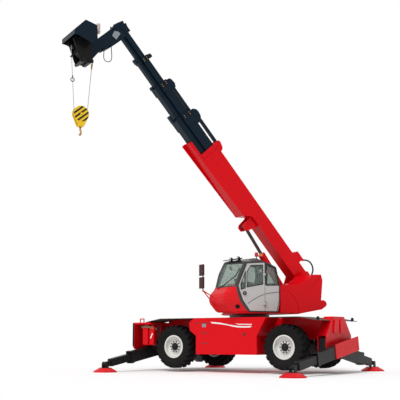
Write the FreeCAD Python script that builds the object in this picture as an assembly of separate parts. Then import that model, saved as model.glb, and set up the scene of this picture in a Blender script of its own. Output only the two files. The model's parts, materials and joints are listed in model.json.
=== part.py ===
"""Rotating telehandler with a five-part boom, a winch head and four stabilisers.

Machine frame: +X towards the front axle, +Y to the cab side, +Z up, with the
origin on the ground under the slew axis.  Lengths are millimetres.
The upper body is modelled in a turret frame, X along the boom, and is then
turned by SLEW_DEG.  Boom pieces are modelled along X and then raised.
"""
import FreeCAD
import Part
import math
import os

V = FreeCAD.Vector
X_AXIS = V(1, 0, 0)
Y_AXIS = V(0, 1, 0)
Z_AXIS = V(0, 0, 1)
ORIGIN = V(0, 0, 0)

# ---- Resting attitude -------------------------------------------------------
SLEW_DEG = 64.0           # turret turned to the cab side
BOOM_DEG = 49.0           # boom above the horizontal

# ---- Clearances -------------------------------------------------------------
SEAT = 0.3                # between pieces that touch
BEARING = 0.5             # between the slewing races
SPINDLE_GAP = 0.05        # radial, shaft in its bore
PIN_GAP = 0.3             # radial, pin in a plain eye

# ---- Wheels and axles -------------------------------------------------------
WHEELBASE = 3400
TRACK = 1970
HUB_Z = 665               # the stabilisers lift the tyres off the ground
TYRE_R = 575
TYRE_W = 445
TYRE_WALL = 28
SHOULDER_DROP = 30
RIM_SEAT_R = 285.7
RIM_FLANGE_R = 305
RIM_W = 356
RIM_LIP = 12
RIM_WALL = 13
DISC_OFFSET = 52          # wheel disc outboard of the tyre's middle
DISC_T = 16
HUB_R = 140
HUB_CAP = 108             # hub end outboard of the tyre's middle
HUB_BACK = -20
SPINDLE_R = 70
SPINDLE_END = 58
KINGPIN_Y = 850
KINGPIN_R = 42
DRUM_R = 148
DRUM_IN = 88              # knuckle drum inboard of the kingpin
DRUM_OUT = 100
EAR_Z = 152               # yoke ears above and below the axle line
EAR_T = 48
EAR_R = 62
EAR_IN = 157
AXLE_R = 92
DIFF_R = 175
DIFF_W = 360

# ---- Lower frame ------------------------------------------------------------
RAIL_HALF_W = 380
RAIL_LO = 860
RAIL_HI = 1180
RAIL_WALL = 16
CORE_X = 950
CORE_HALF_W = 555
CORE_LO = 600
DECK_Z = 1420
DECK_T = 40
END_X_FRONT = 2450
END_X_REAR = 2410
ARCH_T = 10
GUARD_T = 12
GUARD_START_FRONT = 1000
GUARD_START_REAR = 1236
GUARD_FLAT_X = 2130
GUARD_TIP_X = 2625
GUARD_TIP_Z = 1322
SIDE_Y = 1210

# ---- Side boxes -------------------------------------------------------------
BOX_LO = 470
BOX_WALL = 30
BOX_OUTLINE = [(-950, BOX_LO), (930, BOX_LO), (930, 950), (1130, 1100), (1150, 1300),
               (980, DECK_Z), (-1235, DECK_Z), (-950, 950)]

# ---- Slew ring --------------------------------------------------------------
RACE_OUT = 540
RACE_MID = 470
RACE_IN = 380
RACE_H = 80
TURRET_Z = 1520

# ---- Stabilisers ------------------------------------------------------------
LEG_PIVOT_Y = 560
LEG_PIVOT_Z = 708
LEG_PIN_R = 40
FOOT_PIN_Z = 215
OUTER_H = 300
OUTER_W = 190
OUTER_WALL = 14
OUTER_TAIL = 150          # beam behind its pivot
OUTER_REACH = 2150        # beam ahead of its pivot
COLLAR_L = 110
COLLAR_T = 16
INNER_H = 196
INNER_W = 146
INNER_HELD = 1150         # inner beam still inside at rest
PAD_R = 315
PAD_TOP_R = 150
PAD_H = 120
PAD_RIM = 26
EYE_R = 52
EYE_W = 84
EYE_NECK = 192            # inner beam's end, behind the foot pin
EYE_PIN_R = 24
LUG_T = 24
LEG_GUARD_L = 1200        # stone guard on a left leg, ahead of its pivot
LEG_GUARD_T = 20
LEG_GUARD_UP = 60         # above the beam
LEG_GUARD_CLEAR = 10      # round the keeper
PIN_PROUD = 8             # leg pin past its beam
KEEPER_R = 62
KEEPER_T = 12
KEEPER_GAP = 5
HEAD_BEVEL = 110          # lower corners of the head plates
FRONT_HALF_W = 700
FRONT_LO = 560
FRONT_PLATES = (2480, 3045)    # facing sides of the front plates
FRONT_ROOF = 1270
FRONT_TOP = 1320
SHIELD_T = 30
SHIELD_LO = 590
SHIELD_BEVEL = 60
FLANGE_T = 14
FLANGE_X = 3020
LAMP_BOX_Y = (980, 1120)
LAMP_BOX_Z = (700, 1220)
LAMP_BOX_ROUND = 26
LAMP_BOXES = ((2410, 2580), (2620, 2815))
REAR_PLATES = (-2434, -2637)   # facing sides of the rear plates
REAR_PLATE_T = 22
REAR_TOP = 1430
REAR_TOP_HALF_W = 320
REAR_SHOULDER = 950
REAR_HALF_W = 720
REAR_LO = 500
REAR_WRAP_T = 14
BULGE_T = 30
BULGE = [(50, 1010), (300, 1010), (335, 1050), (285, 1320), (250, 1360), (80, 1360), (50, 1330)]
LEGS = {                  # plane X and foot pin Y of each leg
    "front_left": (2920, 2550),
    "front_right": (2690, -2350),
    "rear_left": (-2760, 2650),
    "rear_right": (-2535, -2300),
}

# ---- Turret -----------------------------------------------------------------
TURRET_HALF_W = 1200
BASE_T = 30
TOWER_IN = 345
TOWER_T = 40
PIVOT_X = -1620
PIVOT_Z = 2610
PIVOT_PIN_R = 55
FOOT_X = -1450            # lift cylinder foot
FOOT_Z = 1750
FOOT_EAR = [(260, 1597), (90, 1750), (40, 1835), (-60, 1835), (-100, 1750), (-110, 1622)]
TOWER_FRONT = -250
BED_REAR = -820
FLOOR_REAR = -1585
FLOOR_REAR_Z = 1632
WEIGHT_TOP = 1900
COVER_IN = 400
COVER_WALL = 25
RECESS_DEPTH = 12
COVER_RECESS = [(-986, 2239), (-1277, 2222), (-1525, 2530), (-1455, 2530), (-1240, 2290)]
ARC_CENTRE = (-245, 1603)      # groove in the cover behind the cab
ARC_R = 545
ARC_WIDTH = 24
ARC_DEPTH = 10
ARC_FRONT = -262
ARC_LOW = 1588
ENGINE_X = (-760, 60)
ENGINE_IN = 500
ENGINE_ROOM = 120         # engine to the outside of its bay
ENGINE_H = 620
HOOD_LINE = 1950
HOOD_FRONT = 130
HOOD_TOP = 2420
HOOD_HINGE_Y = -COVER_IN - 18
HOOD_HINGE_Z = HOOD_TOP + 16
HOOD_HINGES = (-1350, -300)
HINGE_R = 14
HINGE_PIN_R = 8
LID_GAP = 6
LID_WALL = 20

# ---- Cab --------------------------------------------------------------------
CAB_IN = 260
CAB_BEND = 900
CAB_OUT = 1200
CAB_WALL = 45
GLASS_SET = 12
GLASS_T = 6
DOOR_GAP = 6
DOOR_REAR = 285
DOOR_HINGE_X = DOOR_REAR - 4
DOOR_HINGE_Y = CAB_OUT + 16
DOOR_HINGES = (1740, 2500)
DOOR_KNOB_X = 905
DOOR_KNOB_Z = 2027
DOOR_KNOB_R = 48
DOOR_KNOB_T = 26
MIRROR_Y = 440
CAB_SOFTEN = 45           # how far each corner of the cab is cut back along its edges
CAB_SWELL = 0.88          # share of the inner outline that the cab keeps at its bend
NOSE = [(-190, 1550), (1180, 1550), (1410, 1800), (1410, 1980), (1230, 2170), (1125, 2560), (940, 2900),
        (360, 2990), (-80, 2860), (-190, 2270), (-190, 1850)]
NEAR = [(-110, 1550), (750, 1550), (990, 1830), (1090, 2080), (1130, 2230), (1010, 2560), (850, 2830),
        (360, 2890), (-80, 2740), (-190, 2270), (-185, 1850)]
DOOR_OUTLINE = [(DOOR_REAR, 1585), (735, 1585), (945, 1850), (1045, 2095), (1080, 2225), (815, 2790),
                (DOOR_REAR, 2835)]
DOOR_WINDOW = [(DOOR_REAR + 55, 2275), (834, 2187), (827, 2580), (712, 2748), (DOOR_REAR + 55, 2775)]
DOOR_VENT = [(1010, 2120), (882, 2160), (874, 2590), (1020, 2255)]
QUARTER_WINDOW = [(-158, 2262), (235, 2245), (232, 2790), (-25, 2708), (-106, 2510)]
SCREEN_FAR = [(1700, 2215), (1150, 2215), (885, 2850), (1700, 2850)]
SCREEN_NEAR = [(1700, 2215), (1085, 2215), (825, 2785), (1700, 2785)]
SCREEN_Y = (330, 1125)
NOSE_VENT = (1041, 1074, 1686)
NOSE_VENT_FACING = (0.539, 0.695, -0.474)
NOSE_VENT_R = 62
NOSE_VENT_DEPTH = 12
CUT_SLACK = 0.01          # tolerance of a cut against the cab's ruled faces
BEACON_X = 206
BEACON_Y = 700
BEACON_R = 48
BEACON_STEM = 190
BEACON_STEM_R = 12
WARNING_X = 55
WARNING_R = 36
VISOR_X = 900
VISOR_Z = 2932
VISOR_R = 14
WORK_LAMP_R = 55
ROOF_WINDOW = [(880, 2700), (880, 3100), (420, 3100), (420, 2700)]
BACK_WINDOW = [(-300, 2330), (-100, 2330), (0, 2720), (-300, 2720)]
INNER_WINDOW = [(-60, 2330), (1120, 2250), (870, 2820), (380, 2880), (-10, 2770)]

# ---- Boom: u along, w up, pivot at 0, 0 -------------------------------------
BASE_TAIL = -150
BASE_END = 4500
BASE_HALF_W = 210
BASE_TOP = 200
BASE_LO = -190
BASE_WALL = 12
BELLY_START = 2450
BELLY_RAMP = 180
BELLY_LO = -388
BELLY_T = 14
LIP_LO = -402             # lower edge where the belly starts
LIP_END = -486            # lower edge at the chin
LIP_T = 16
CHIN_U = 4940             # chin plate ahead of the mouth
BOOM_ROOM = 110
TAIL_BOX = [(655, 0), (645, 80), (580, 205), (290, 205), (315, 120), (315, 0)]   # U, height
TAIL_BOX_HALF_W = 150
COLLAR_GROW = 16
PAD_BACK = 100            # slide pads, back from the mouth
PAD_LENGTH = 85
PAD_EDGE = 8
GUIDE_IN = 70             # hose rail guides, either side of the middle
MOUTH_L = 130             # doubling plates round the base tube's mouth
MOUTH_T = 14
MOUTH_RISE = 25
GUIDE_T = 26
RAIL_TOP_HALF_W = 42      # hose rail on a tube's back
LIP_HALF_W = 60
BASE_GUIDE = [(4185, 200), (4203, 330), (4260, 385), (4400, 425), (4470, 405), (4500, 330), (4500, 200)]
BRACKET_U = 2140
BRACKET_W = -450
BRACKET_IN = 106
BRACKET_T = 30
ROD_END_R = 65
ROD_R = 45
BARREL_R = 100
BARREL_WALL = 18
BARREL_LEN = 1780
FOOT_EYE_R = 80
FOOT_EYE_HALF_W = 98
ROD_EYE_HALF_W = 100
ROD_LEN = 1800
BOOM_PIN_R = 38

# tail, collar start, end, half width, top, low, wall, keel half width, low, length;
# guide: outline of the hose guide; rail: start, end, low, top; lip: start, end, low
SECTIONS = {
    2: dict(tail=850, collar=5300, end=5660, half_w=180, top=135, low=-165, wall=10,
            keel_w=130, keel_low=-355, keel_len=2450,
            guide=[(5195, 135), (5195, 313), (5330, 396), (5460, 409), (5540, 380), (5602, 306),
                   (5608, 135)],
            rail=(4330, 5230, 315, 385), lip=(5620, 5830, -430)),
    3: dict(tail=1600, collar=6400, end=6680, half_w=152, top=90, low=-145, wall=8,
            keel_w=100, keel_low=-295, keel_len=2350,
            guide=[(6340, 90), (6340, 262), (6435, 310), (6560, 298), (6632, 259), (6660, 90)],
            rail=(5400, 6380, 205, 268), lip=(6640, 6735, -356)),
    4: dict(tail=2350, collar=7380, end=7500, half_w=127, top=57, low=-127, wall=7,
            keel_w=75, keel_low=-240, keel_len=2150,
            guide=[(7362, 57), (7362, 205), (7403, 223), (7470, 208), (7498, 57)],
            rail=None, lip=(7440, 7580, -298)),
    5: dict(tail=3100, collar=8200, end=8460, half_w=105, top=30, low=-112, wall=8,
            keel_w=55, keel_low=-205, keel_len=1900, guide=None, rail=None, lip=None),
}

# ---- Boom head and winch, turret X and Z ------------------------------------
HEAD_PIN = (4600, 8350)
HEAD_PIN_R = 35
NECK_HALF_W = 105
NECK_BOSS_R = 150
TIP_COLLAR = (8240, 8475)
TIP_COLLAR_W = (-60, 100)
TIP_COLLAR_HALF_W = 121
NECK_TOP = [(3749, 8836), (3930, 9140), (4120, 9030), (4240, 8870), (4655, 8500)]
NECK_LOW = [(4490, 8215), (4320, 8310), (4040, 8530), (3905, 8655)]
CHEEK_GAP = 8
CHEEK_T = 24
HOOD_HALF_W = 450
HOOD_T = 8
HOOD_OUTLINE = [(4765, 8400), (4790, 8745), (5100, 8835), (5390, 8540), (5390, 8415), (5270, 8400),
                (4900, 8235)]
WINCH_IN = 176
WINCH_T = 24
DRUM_X = 5010
DRUM_Z = 8170
DRUM_BARREL_R = 105
DRUM_FLANGE_R = 165
DRUM_HALF_W = 160
ROPE_R = 8
ROPE_TIP = 2
LEAD_X = 5230             # lead roller that the front fall comes off
LEAD_Z = 8250
LEAD_R = 70
ANCHOR_X = 4727
ANCHOR_Z = 7880
SHEAVE_Z = 6490
SHEAVE_X = 5010
SHEAVE_R = 165
BLOCK_R = 205
BLOCK_LOW = SHEAVE_Z - 330
BLOCK_FOOT = 75
BLOCK_HALF_T = 62
CHEEK_PLATE = 12
HOOK_TIP_Z = SHEAVE_Z - 565
HOOK_BAR_R = 22

# ---- Hoses: X and Z of the turret for the head hose, U and W for the foot hose ----
HEAD_HOSE_R = 10
HEAD_HOSE_Y = 150
HEAD_HOSE = [(4465, 8240), (4465, 8165), (4472, 8087), (4470, 8010), (4440, 7959), (4389, 7930),
             (4330, 7930), (4279, 7959), (4250, 8010), (4243, 8085), (4250, 8180), (4262, 8275),
             (4262, 8370)]
FOOT_HOSE_R = 22
FOOT_HOSE_Y = 115
FOOT_HOSE = [(254, 424), (176, 515), (58, 561), (-67, 546), (-171, 475), (-228, 365), (-232, 262),
             (-232, 162)]
GLAND_GROW = 8            # gland radius over the hose's
FOOT_GLAND = 100
BRACKET_DEPTH = 32
HOSE_ARC = 0.45           # share of the shorter run that an arc takes


# ---- Small helpers ----------------------------------------------------------
def box(x0, x1, y0, y1, z0, z1):
    """Box between two opposite corners, given in any order."""
    low = V(min(x0, x1), min(y0, y1), min(z0, z1))
    return Part.makeBox(abs(x1 - x0), abs(y1 - y0), abs(z1 - z0), low)


def cyl(radius, start, end):
    """Round bar between two points."""
    start = V(*start)
    run = V(*end) - start
    return Part.makeCylinder(radius, run.Length, start, run)


def ring(outer, inner, start, end):
    """Round tube between two points."""
    return cyl(outer, start, end).cut(cyl(inner, start, end))


def polygon(points):
    """Face from a closed run of corner points."""
    corners = [V(*p) for p in points]
    return Part.Face(Part.makePolygon(corners + corners[:1]))


def side_plate(outline, y0, y1):
    """Plate whose outline is drawn from the side, in X and Z."""
    return polygon([(x, y0, z) for x, z in outline]).extrude(V(0, y1 - y0, 0))


def cross_plate(outline, x0, x1):
    """Plate whose outline is drawn from the end, in Y and Z."""
    return polygon([(x0, y, z) for y, z in outline]).extrude(V(x1 - x0, 0, 0))


def flat_plate(outline, z0, z1):
    """Plate whose outline is drawn from above."""
    return polygon([(x, y, z0) for x, y in outline]).extrude(V(0, 0, z1 - z0))


def fuse(shapes):
    """One solid from pieces that touch."""
    shapes = list(shapes)
    return shapes[0].multiFuse(shapes[1:]).removeSplitter()


def group(shapes):
    """Separate solids kept in one node."""
    return Part.makeCompound(list(shapes))


def inset(outline, depth):
    """Outline moved inwards by depth, corner by corner."""
    area = sum(a[0] * b[1] - b[0] * a[1] for a, b in zip(outline, outline[1:] + outline[:1]))
    turn = 1.0 if area > 0 else -1.0
    moved = []
    for i, here in enumerate(outline):
        before = outline[i - 1]
        after = outline[(i + 1) % len(outline)]
        a = V(here[0] - before[0], here[1] - before[1], 0).normalize()
        b = V(after[0] - here[0], after[1] - here[1], 0).normalize()
        normal_a = V(-a.y, a.x, 0) * turn
        normal_b = V(-b.y, b.x, 0) * turn
        shift = (normal_a + normal_b) * (depth / (1 + normal_a.dot(normal_b)))
        moved.append((here[0] + shift.x, here[1] + shift.y))
    return moved


def hollow_side(outline, y0, y1, wall):
    """Closed sheet housing drawn from the side, with even walls."""
    lo = min(y0, y1)
    hi = max(y0, y1)
    return side_plate(outline, lo, hi).cut(side_plate(inset(outline, wall), lo + wall, hi - wall))


def hose(name, points, radius):
    """Tube along straight runs joined by arcs, with its bend radii and its volume's match printed."""
    stations = [V(*p) for p in points]
    edges = []
    bends = []
    start = stations[0]
    for before, corner, after in zip(stations, stations[1:], stations[2:]):
        back = before - corner
        ahead = after - corner
        tangent = HOSE_ARC * min(back.Length, ahead.Length)
        half_turn = (math.pi - back.getAngle(ahead)) / 2
        bend = tangent / math.tan(half_turn)
        back.normalize()
        ahead.normalize()
        inward = (back + ahead).normalize()
        middle = corner + inward * (bend / math.cos(half_turn) - bend)
        enter = corner + back * tangent
        leave = corner + ahead * tangent
        edges += [Part.LineSegment(start, enter).toShape(), Part.Arc(enter, middle, leave).toShape()]
        bends.append(bend)
        start = leave
    edges.append(Part.LineSegment(start, stations[-1]).toShape())
    path = Part.Wire(edges)
    section = Part.Wire(Part.makeCircle(radius, stations[0], stations[1] - stations[0]))
    tube = path.makePipeShell([section], True, False)
    full = math.pi * radius ** 2 * path.Length
    print("%s: length %.0f mm, bends %s mm, volume over section times length %.4f"
          % (name, path.Length, [round(b) for b in bends], tube.Volume / full))
    return tube


def mirror_y(shape):
    """Copy on the other side of the machine's middle plane."""
    return shape.mirror(ORIGIN, Y_AXIS)


def on_turret(shape):
    """Turret frame to machine frame."""
    placed = shape.copy()
    placed.rotate(ORIGIN, Z_AXIS, SLEW_DEG)
    return placed


def on_boom(shape):
    """Boom frame to machine frame."""
    placed = shape.copy()
    placed.rotate(ORIGIN, Y_AXIS, -BOOM_DEG)
    placed.translate(V(PIVOT_X, 0, PIVOT_Z))
    return on_turret(placed)


def boom_point(u, w):
    """Boom frame point, as turret X and Z."""
    lift = math.radians(BOOM_DEG)
    return (PIVOT_X + u * math.cos(lift) - w * math.sin(lift),
            PIVOT_Z + u * math.sin(lift) + w * math.cos(lift))


# ---- Wheels and axles -------------------------------------------------------
def wheel_sites():
    """Name, X and side of each wheel."""
    sites = []
    for end, x in (("front", WHEELBASE / 2), ("rear", -WHEELBASE / 2)):
        for hand, side in (("left", 1), ("right", -1)):
            sites.append((end + "_" + hand, x, side))
    return sites


def revolve_wheel(profile, x, side):
    """Closed profile of radius and outboard distance, turned about the wheel axis."""
    face = polygon([(r, y, 0) for r, y in profile])
    solid = face.revolve(ORIGIN, Y_AXIS, 360)
    if side < 0:
        solid = mirror_y(solid)
    solid.translate(V(x, side * TRACK / 2, HUB_Z))
    return solid


def tyre(x, side):
    """Hollow tyre with a bulged wall and a square shoulder."""
    bead = RIM_W / 2 - RIM_LIP - SEAT
    seat = RIM_SEAT_R + SEAT
    bulge = TYRE_W / 2
    outer = [(seat, bead), (RIM_FLANGE_R + 2, bead), (RIM_FLANGE_R + 15, bead + 4), (390, bulge - 6),
             (450, bulge), (TYRE_R - SHOULDER_DROP - 30, bulge - 8), (TYRE_R - SHOULDER_DROP, bulge - 20),
             (TYRE_R - 4, bulge - 55), (TYRE_R, 0)]
    inner = [(TYRE_R - 2 * TYRE_WALL, 0), (TYRE_R - 2 * TYRE_WALL - 12, bulge - 70),
             (450, bulge - TYRE_WALL), (RIM_FLANGE_R + 30, bead - TYRE_WALL), (seat, bead - TYRE_WALL)]
    far_outer = [(r, -y) for r, y in reversed(outer[:-1])]
    far_inner = [(r, -y) for r, y in inner[:0:-1]]
    return revolve_wheel(outer + far_outer + far_inner + inner, x, side)


def rim(x, side):
    """Disc wheel with its barrel, dished disc and hub in one."""
    half = RIM_W / 2
    barrel = RIM_SEAT_R - RIM_WALL
    profile = [(SPINDLE_R + SPINDLE_GAP, HUB_BACK), (HUB_R, HUB_BACK), (HUB_R, DISC_OFFSET - DISC_T),
               (barrel, DISC_OFFSET), (barrel, -half), (RIM_FLANGE_R, -half), (RIM_FLANGE_R, RIM_LIP - half),
               (RIM_SEAT_R, RIM_LIP - half), (RIM_SEAT_R, half - RIM_LIP), (RIM_FLANGE_R, half - RIM_LIP),
               (RIM_FLANGE_R, half), (barrel, half), (barrel, DISC_OFFSET + DISC_T + 4),
               (HUB_R + 12, DISC_OFFSET), (HUB_R + 4, HUB_CAP - 14), (HUB_R - 24, HUB_CAP), (0, HUB_CAP),
               (0, SPINDLE_END + SEAT), (SPINDLE_R + SPINDLE_GAP, SPINDLE_END + SEAT)]
    return revolve_wheel(profile, x, side)


def knuckle(x, side):
    """Steered drum on its kingpin, with the spindle that carries the hub."""
    kingpin_y = side * KINGPIN_Y
    drum = cyl(DRUM_R, (x, side * (KINGPIN_Y - DRUM_IN), HUB_Z), (x, side * (KINGPIN_Y + DRUM_OUT), HUB_Z))
    spindle = cyl(SPINDLE_R, (x, side * (KINGPIN_Y + DRUM_OUT), HUB_Z),
                  (x, side * (TRACK / 2 + SPINDLE_END), HUB_Z))
    reach = EAR_Z + EAR_T + 12
    pin = cyl(KINGPIN_R, (x, kingpin_y, HUB_Z - reach), (x, kingpin_y, HUB_Z + reach))
    return fuse([drum, spindle, pin])


def axle(x):
    """Axle beam with its drive housing and a yoke at each end."""
    end_y = KINGPIN_Y - EAR_IN
    pieces = [cyl(AXLE_R, (x, -end_y, HUB_Z), (x, end_y, HUB_Z))]
    pieces.append(cyl(DIFF_R, (x, -DIFF_W / 2, HUB_Z), (x, DIFF_W / 2, HUB_Z)))
    pieces.append(box(x - 70, x + 70, -300, 300, HUB_Z + AXLE_R - 30, RAIL_LO))
    for side in (1, -1):
        pieces.append(box(x - EAR_R, x + EAR_R, side * (end_y - 40), side * end_y,
                          HUB_Z - EAR_Z - EAR_T, HUB_Z + EAR_Z + EAR_T))
        for up in (1, -1):
            z0 = HUB_Z + up * EAR_Z
            z1 = HUB_Z + up * (EAR_Z + EAR_T)
            ear = fuse([box(x - EAR_R, x + EAR_R, side * end_y, side * KINGPIN_Y, z0, z1),
                        cyl(EAR_R, (x, side * KINGPIN_Y, z0), (x, side * KINGPIN_Y, z1))])
            hole = cyl(KINGPIN_R + PIN_GAP, (x, side * KINGPIN_Y, z0 - up), (x, side * KINGPIN_Y, z1 + up))
            pieces.append(ear.cut(hole))
    return fuse(pieces)


def axles():
    """Both axles."""
    return group([axle(WHEELBASE / 2), axle(-WHEELBASE / 2)])


# ---- Lower frame ------------------------------------------------------------
def chassis_frame():
    """Box-section rail with a wide core, a deck under the slew ring and arch walls."""
    rail = box(-END_X_REAR, END_X_FRONT, -RAIL_HALF_W, RAIL_HALF_W, RAIL_LO, RAIL_HI)
    core = box(-CORE_X, CORE_X, -CORE_HALF_W, CORE_HALF_W, CORE_LO, DECK_Z)
    solid = fuse([rail, core])
    t = RAIL_WALL
    for x0, x1 in ((-END_X_REAR + t, -CORE_X), (CORE_X, END_X_FRONT - t)):
        solid = solid.cut(box(x0, x1, t - RAIL_HALF_W, RAIL_HALF_W - t, RAIL_LO + t, RAIL_HI - t))
    solid = solid.cut(box(t - CORE_X, CORE_X - t, t - CORE_HALF_W, CORE_HALF_W - t, CORE_LO + t,
                          DECK_Z - DECK_T))
    walls = []
    for side in (1, -1):
        y = side * RAIL_HALF_W
        for end, x1 in ((-1, END_X_REAR), (1, END_X_FRONT)):
            drop = (x1 - GUARD_FLAT_X) * (DECK_Z - GUARD_T - GUARD_TIP_Z) / (GUARD_TIP_X - GUARD_FLAT_X)
            outline = [(CORE_X, RAIL_HI), (x1, RAIL_HI), (x1, DECK_Z - GUARD_T - drop),
                       (GUARD_FLAT_X, DECK_Z - GUARD_T), (CORE_X, DECK_Z - GUARD_T)]
            walls.append(side_plate([(end * x, z) for x, z in outline], y, y - side * ARCH_T))
    return fuse([solid] + walls)


def guard(end, side):
    """One mudguard: flat over the tyre, then sloping to the stabiliser head."""
    start = GUARD_START_FRONT if end > 0 else GUARD_START_REAR
    inner = side * (RAIL_HALF_W - ARCH_T)
    top = [(end * start, DECK_Z), (end * GUARD_FLAT_X, DECK_Z), (end * GUARD_TIP_X, GUARD_TIP_Z + GUARD_T)]
    low = [(x, z - GUARD_T) for x, z in reversed(top)]
    frame_room = cross_plate(rear_outline(SEAT), SEAT - END_X_REAR, -GUARD_TIP_X - GUARD_T)
    return side_plate(top + low, inner, side * SIDE_Y).cut(frame_room)


def mudguards():
    """Four mudguards over the tyres."""
    return group([guard(end, side) for end in (1, -1) for side in (1, -1)])


def side_box(side):
    """Tank and locker housing between the wheels on one side."""
    outline = list(BOX_OUTLINE)
    return hollow_side(outline, side * CORE_HALF_W, side * SIDE_Y, BOX_WALL)


def slew_ring():
    """Fixed race, bolted to the deck."""
    return ring(RACE_OUT, RACE_MID, (0, 0, DECK_Z), (0, 0, DECK_Z + RACE_H))


# ---- Stabilisers ------------------------------------------------------------
def beveled(half_w, low, high, bevel):
    """Outline in Y and Z with its lower corners cut off."""
    return [(-half_w, high), (-half_w, low + bevel), (bevel - half_w, low),
            (half_w - bevel, low), (half_w, low + bevel), (half_w, high)]


def rear_outline(grow):
    """Outline of the rear plates, larger by grow: narrow at the top, with shoulders above the legs."""
    low = beveled(REAR_HALF_W, REAR_LO, REAR_SHOULDER, HEAD_BEVEL)
    return inset([(-REAR_TOP_HALF_W, REAR_TOP)] + low + [(REAR_TOP_HALF_W, REAR_TOP)], -grow)


def leg_pin(name, start, end):
    """Pivot pin of one leg, between two X positions."""
    side = 1 if LEGS[name][1] > 0 else -1
    y = -side * LEG_PIVOT_Y
    return cyl(LEG_PIN_R, (start, y, LEG_PIVOT_Z), (end, y, LEG_PIVOT_Z))


def lamp_box(x0, x1):
    """Rounded housing hung from the roof beside the front legs."""
    y0, y1 = LAMP_BOX_Y
    z0, z1 = LAMP_BOX_Z
    housing = box(x0, x1, y0, y1, z0, z1)
    housing = housing.makeFillet(LAMP_BOX_ROUND, housing.Edges)
    middle = (x0 + x1) / 2
    hanger = box(middle - 30, middle + 30, y0 + 40, y1 - 40, z1 - LAMP_BOX_ROUND, FRONT_ROOF)
    return fuse([housing, hanger])


def front_frame():
    """Inner plate, full-width shield and thin roof; two legs swing between them."""
    inner, shield = FRONT_PLATES
    end = shield + SHIELD_T
    pieces = [cross_plate(beveled(FRONT_HALF_W, FRONT_LO, FRONT_ROOF, HEAD_BEVEL), END_X_FRONT, inner),
              cross_plate(beveled(SIDE_Y, SHIELD_LO, FRONT_ROOF, SHIELD_BEVEL), shield, end),
              box(END_X_FRONT, end, -SIDE_Y, SIDE_Y, FRONT_ROOF, FRONT_TOP)]
    for side in (1, -1):
        pieces.append(box(FLANGE_X, shield, side * (SIDE_Y - FLANGE_T), side * SIDE_Y,
                          SHIELD_LO + SHIELD_BEVEL, FRONT_ROOF))
    reach = OUTER_W / 2 + PIN_PROUD
    pieces.append(leg_pin("front_left", shield, LEGS["front_left"][0] - reach))
    pieces.append(leg_pin("front_right", inner, LEGS["front_right"][0] + reach))
    pieces += [lamp_box(x0, x1) for x0, x1 in LAMP_BOXES]
    return fuse(pieces)


def rear_frame():
    """Two shouldered plates under a folded cover; one leg between them and one outside."""
    inner, outer = REAR_PLATES
    back = outer - REAR_PLATE_T
    cover = cross_plate(rear_outline(0), inner, outer)
    cover = cover.cut(cross_plate(rear_outline(-REAR_WRAP_T), inner, outer))
    below = box(inner, outer, -REAR_HALF_W, REAR_HALF_W, REAR_LO, REAR_SHOULDER)
    pieces = [cross_plate(rear_outline(0), -END_X_REAR, inner), cross_plate(rear_outline(0), outer, back),
              cover.cut(below)]
    for side in (1, -1):
        pieces.append(cross_plate([(side * y, z) for y, z in BULGE], back, back - BULGE_T))
    keeper = LEGS["rear_left"][0] - OUTER_W / 2 - KEEPER_GAP
    pieces.append(leg_pin("rear_right", inner, outer))
    pieces.append(leg_pin("rear_left", back, keeper - KEEPER_T))
    pieces.append(cyl(KEEPER_R, (keeper, -LEG_PIVOT_Y, LEG_PIVOT_Z),
                      (keeper - KEEPER_T, -LEG_PIVOT_Y, LEG_PIVOT_Z)))
    return fuse(pieces)


def leg_frame(shape, plane, foot):
    """Leg modelled along +X from its pivot, set on the machine."""
    side = 1 if foot > 0 else -1
    drop = math.degrees(math.atan2(LEG_PIVOT_Z - FOOT_PIN_Z, abs(foot) + LEG_PIVOT_Y))
    placed = shape.copy()
    placed.rotate(ORIGIN, Y_AXIS, drop)
    placed.rotate(ORIGIN, Z_AXIS, 90 * side)
    placed.translate(V(plane, -side * LEG_PIVOT_Y, LEG_PIVOT_Z))
    return placed


def leg_length(foot):
    """Pivot to foot pin."""
    return math.hypot(abs(foot) + LEG_PIVOT_Y, LEG_PIVOT_Z - FOOT_PIN_Z)


def leg_guard(plane):
    """Stone guard on a left leg's outer face, open round the pin's keeper."""
    h = OUTER_H / 2
    y0 = math.copysign(OUTER_W / 2, -plane)
    y1 = math.copysign(OUTER_W / 2 + LEG_GUARD_T, -plane)
    plate = box(-OUTER_TAIL, LEG_GUARD_L, y0, y1, -h, h + LEG_GUARD_UP)
    if plane > 0:
        return plate
    return plate.cut(cyl(KEEPER_R + LEG_GUARD_CLEAR, (0, y0, 0), (0, y1, 0)))


def leg_beam(plane, foot):
    """Outer box beam with its pivot eye and end collar, and a guard on the left legs."""
    h = OUTER_H / 2
    w = OUTER_W / 2
    t = OUTER_WALL
    body = box(-OUTER_TAIL, OUTER_REACH, -w, w, -h, h)
    collar = box(OUTER_REACH - COLLAR_L, OUTER_REACH, -w, w, -h - COLLAR_T, h + COLLAR_T)
    solid = fuse([body, collar])
    solid = solid.cut(box(LEG_PIN_R + 60, OUTER_REACH, t - w, w - t, t - h, h - t))
    if foot > 0:
        solid = fuse([solid, leg_guard(plane)])
    solid = solid.cut(cyl(LEG_PIN_R + PIN_GAP, (0, -2 * w, 0), (0, 2 * w, 0)))
    return leg_frame(solid, plane, foot)


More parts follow.
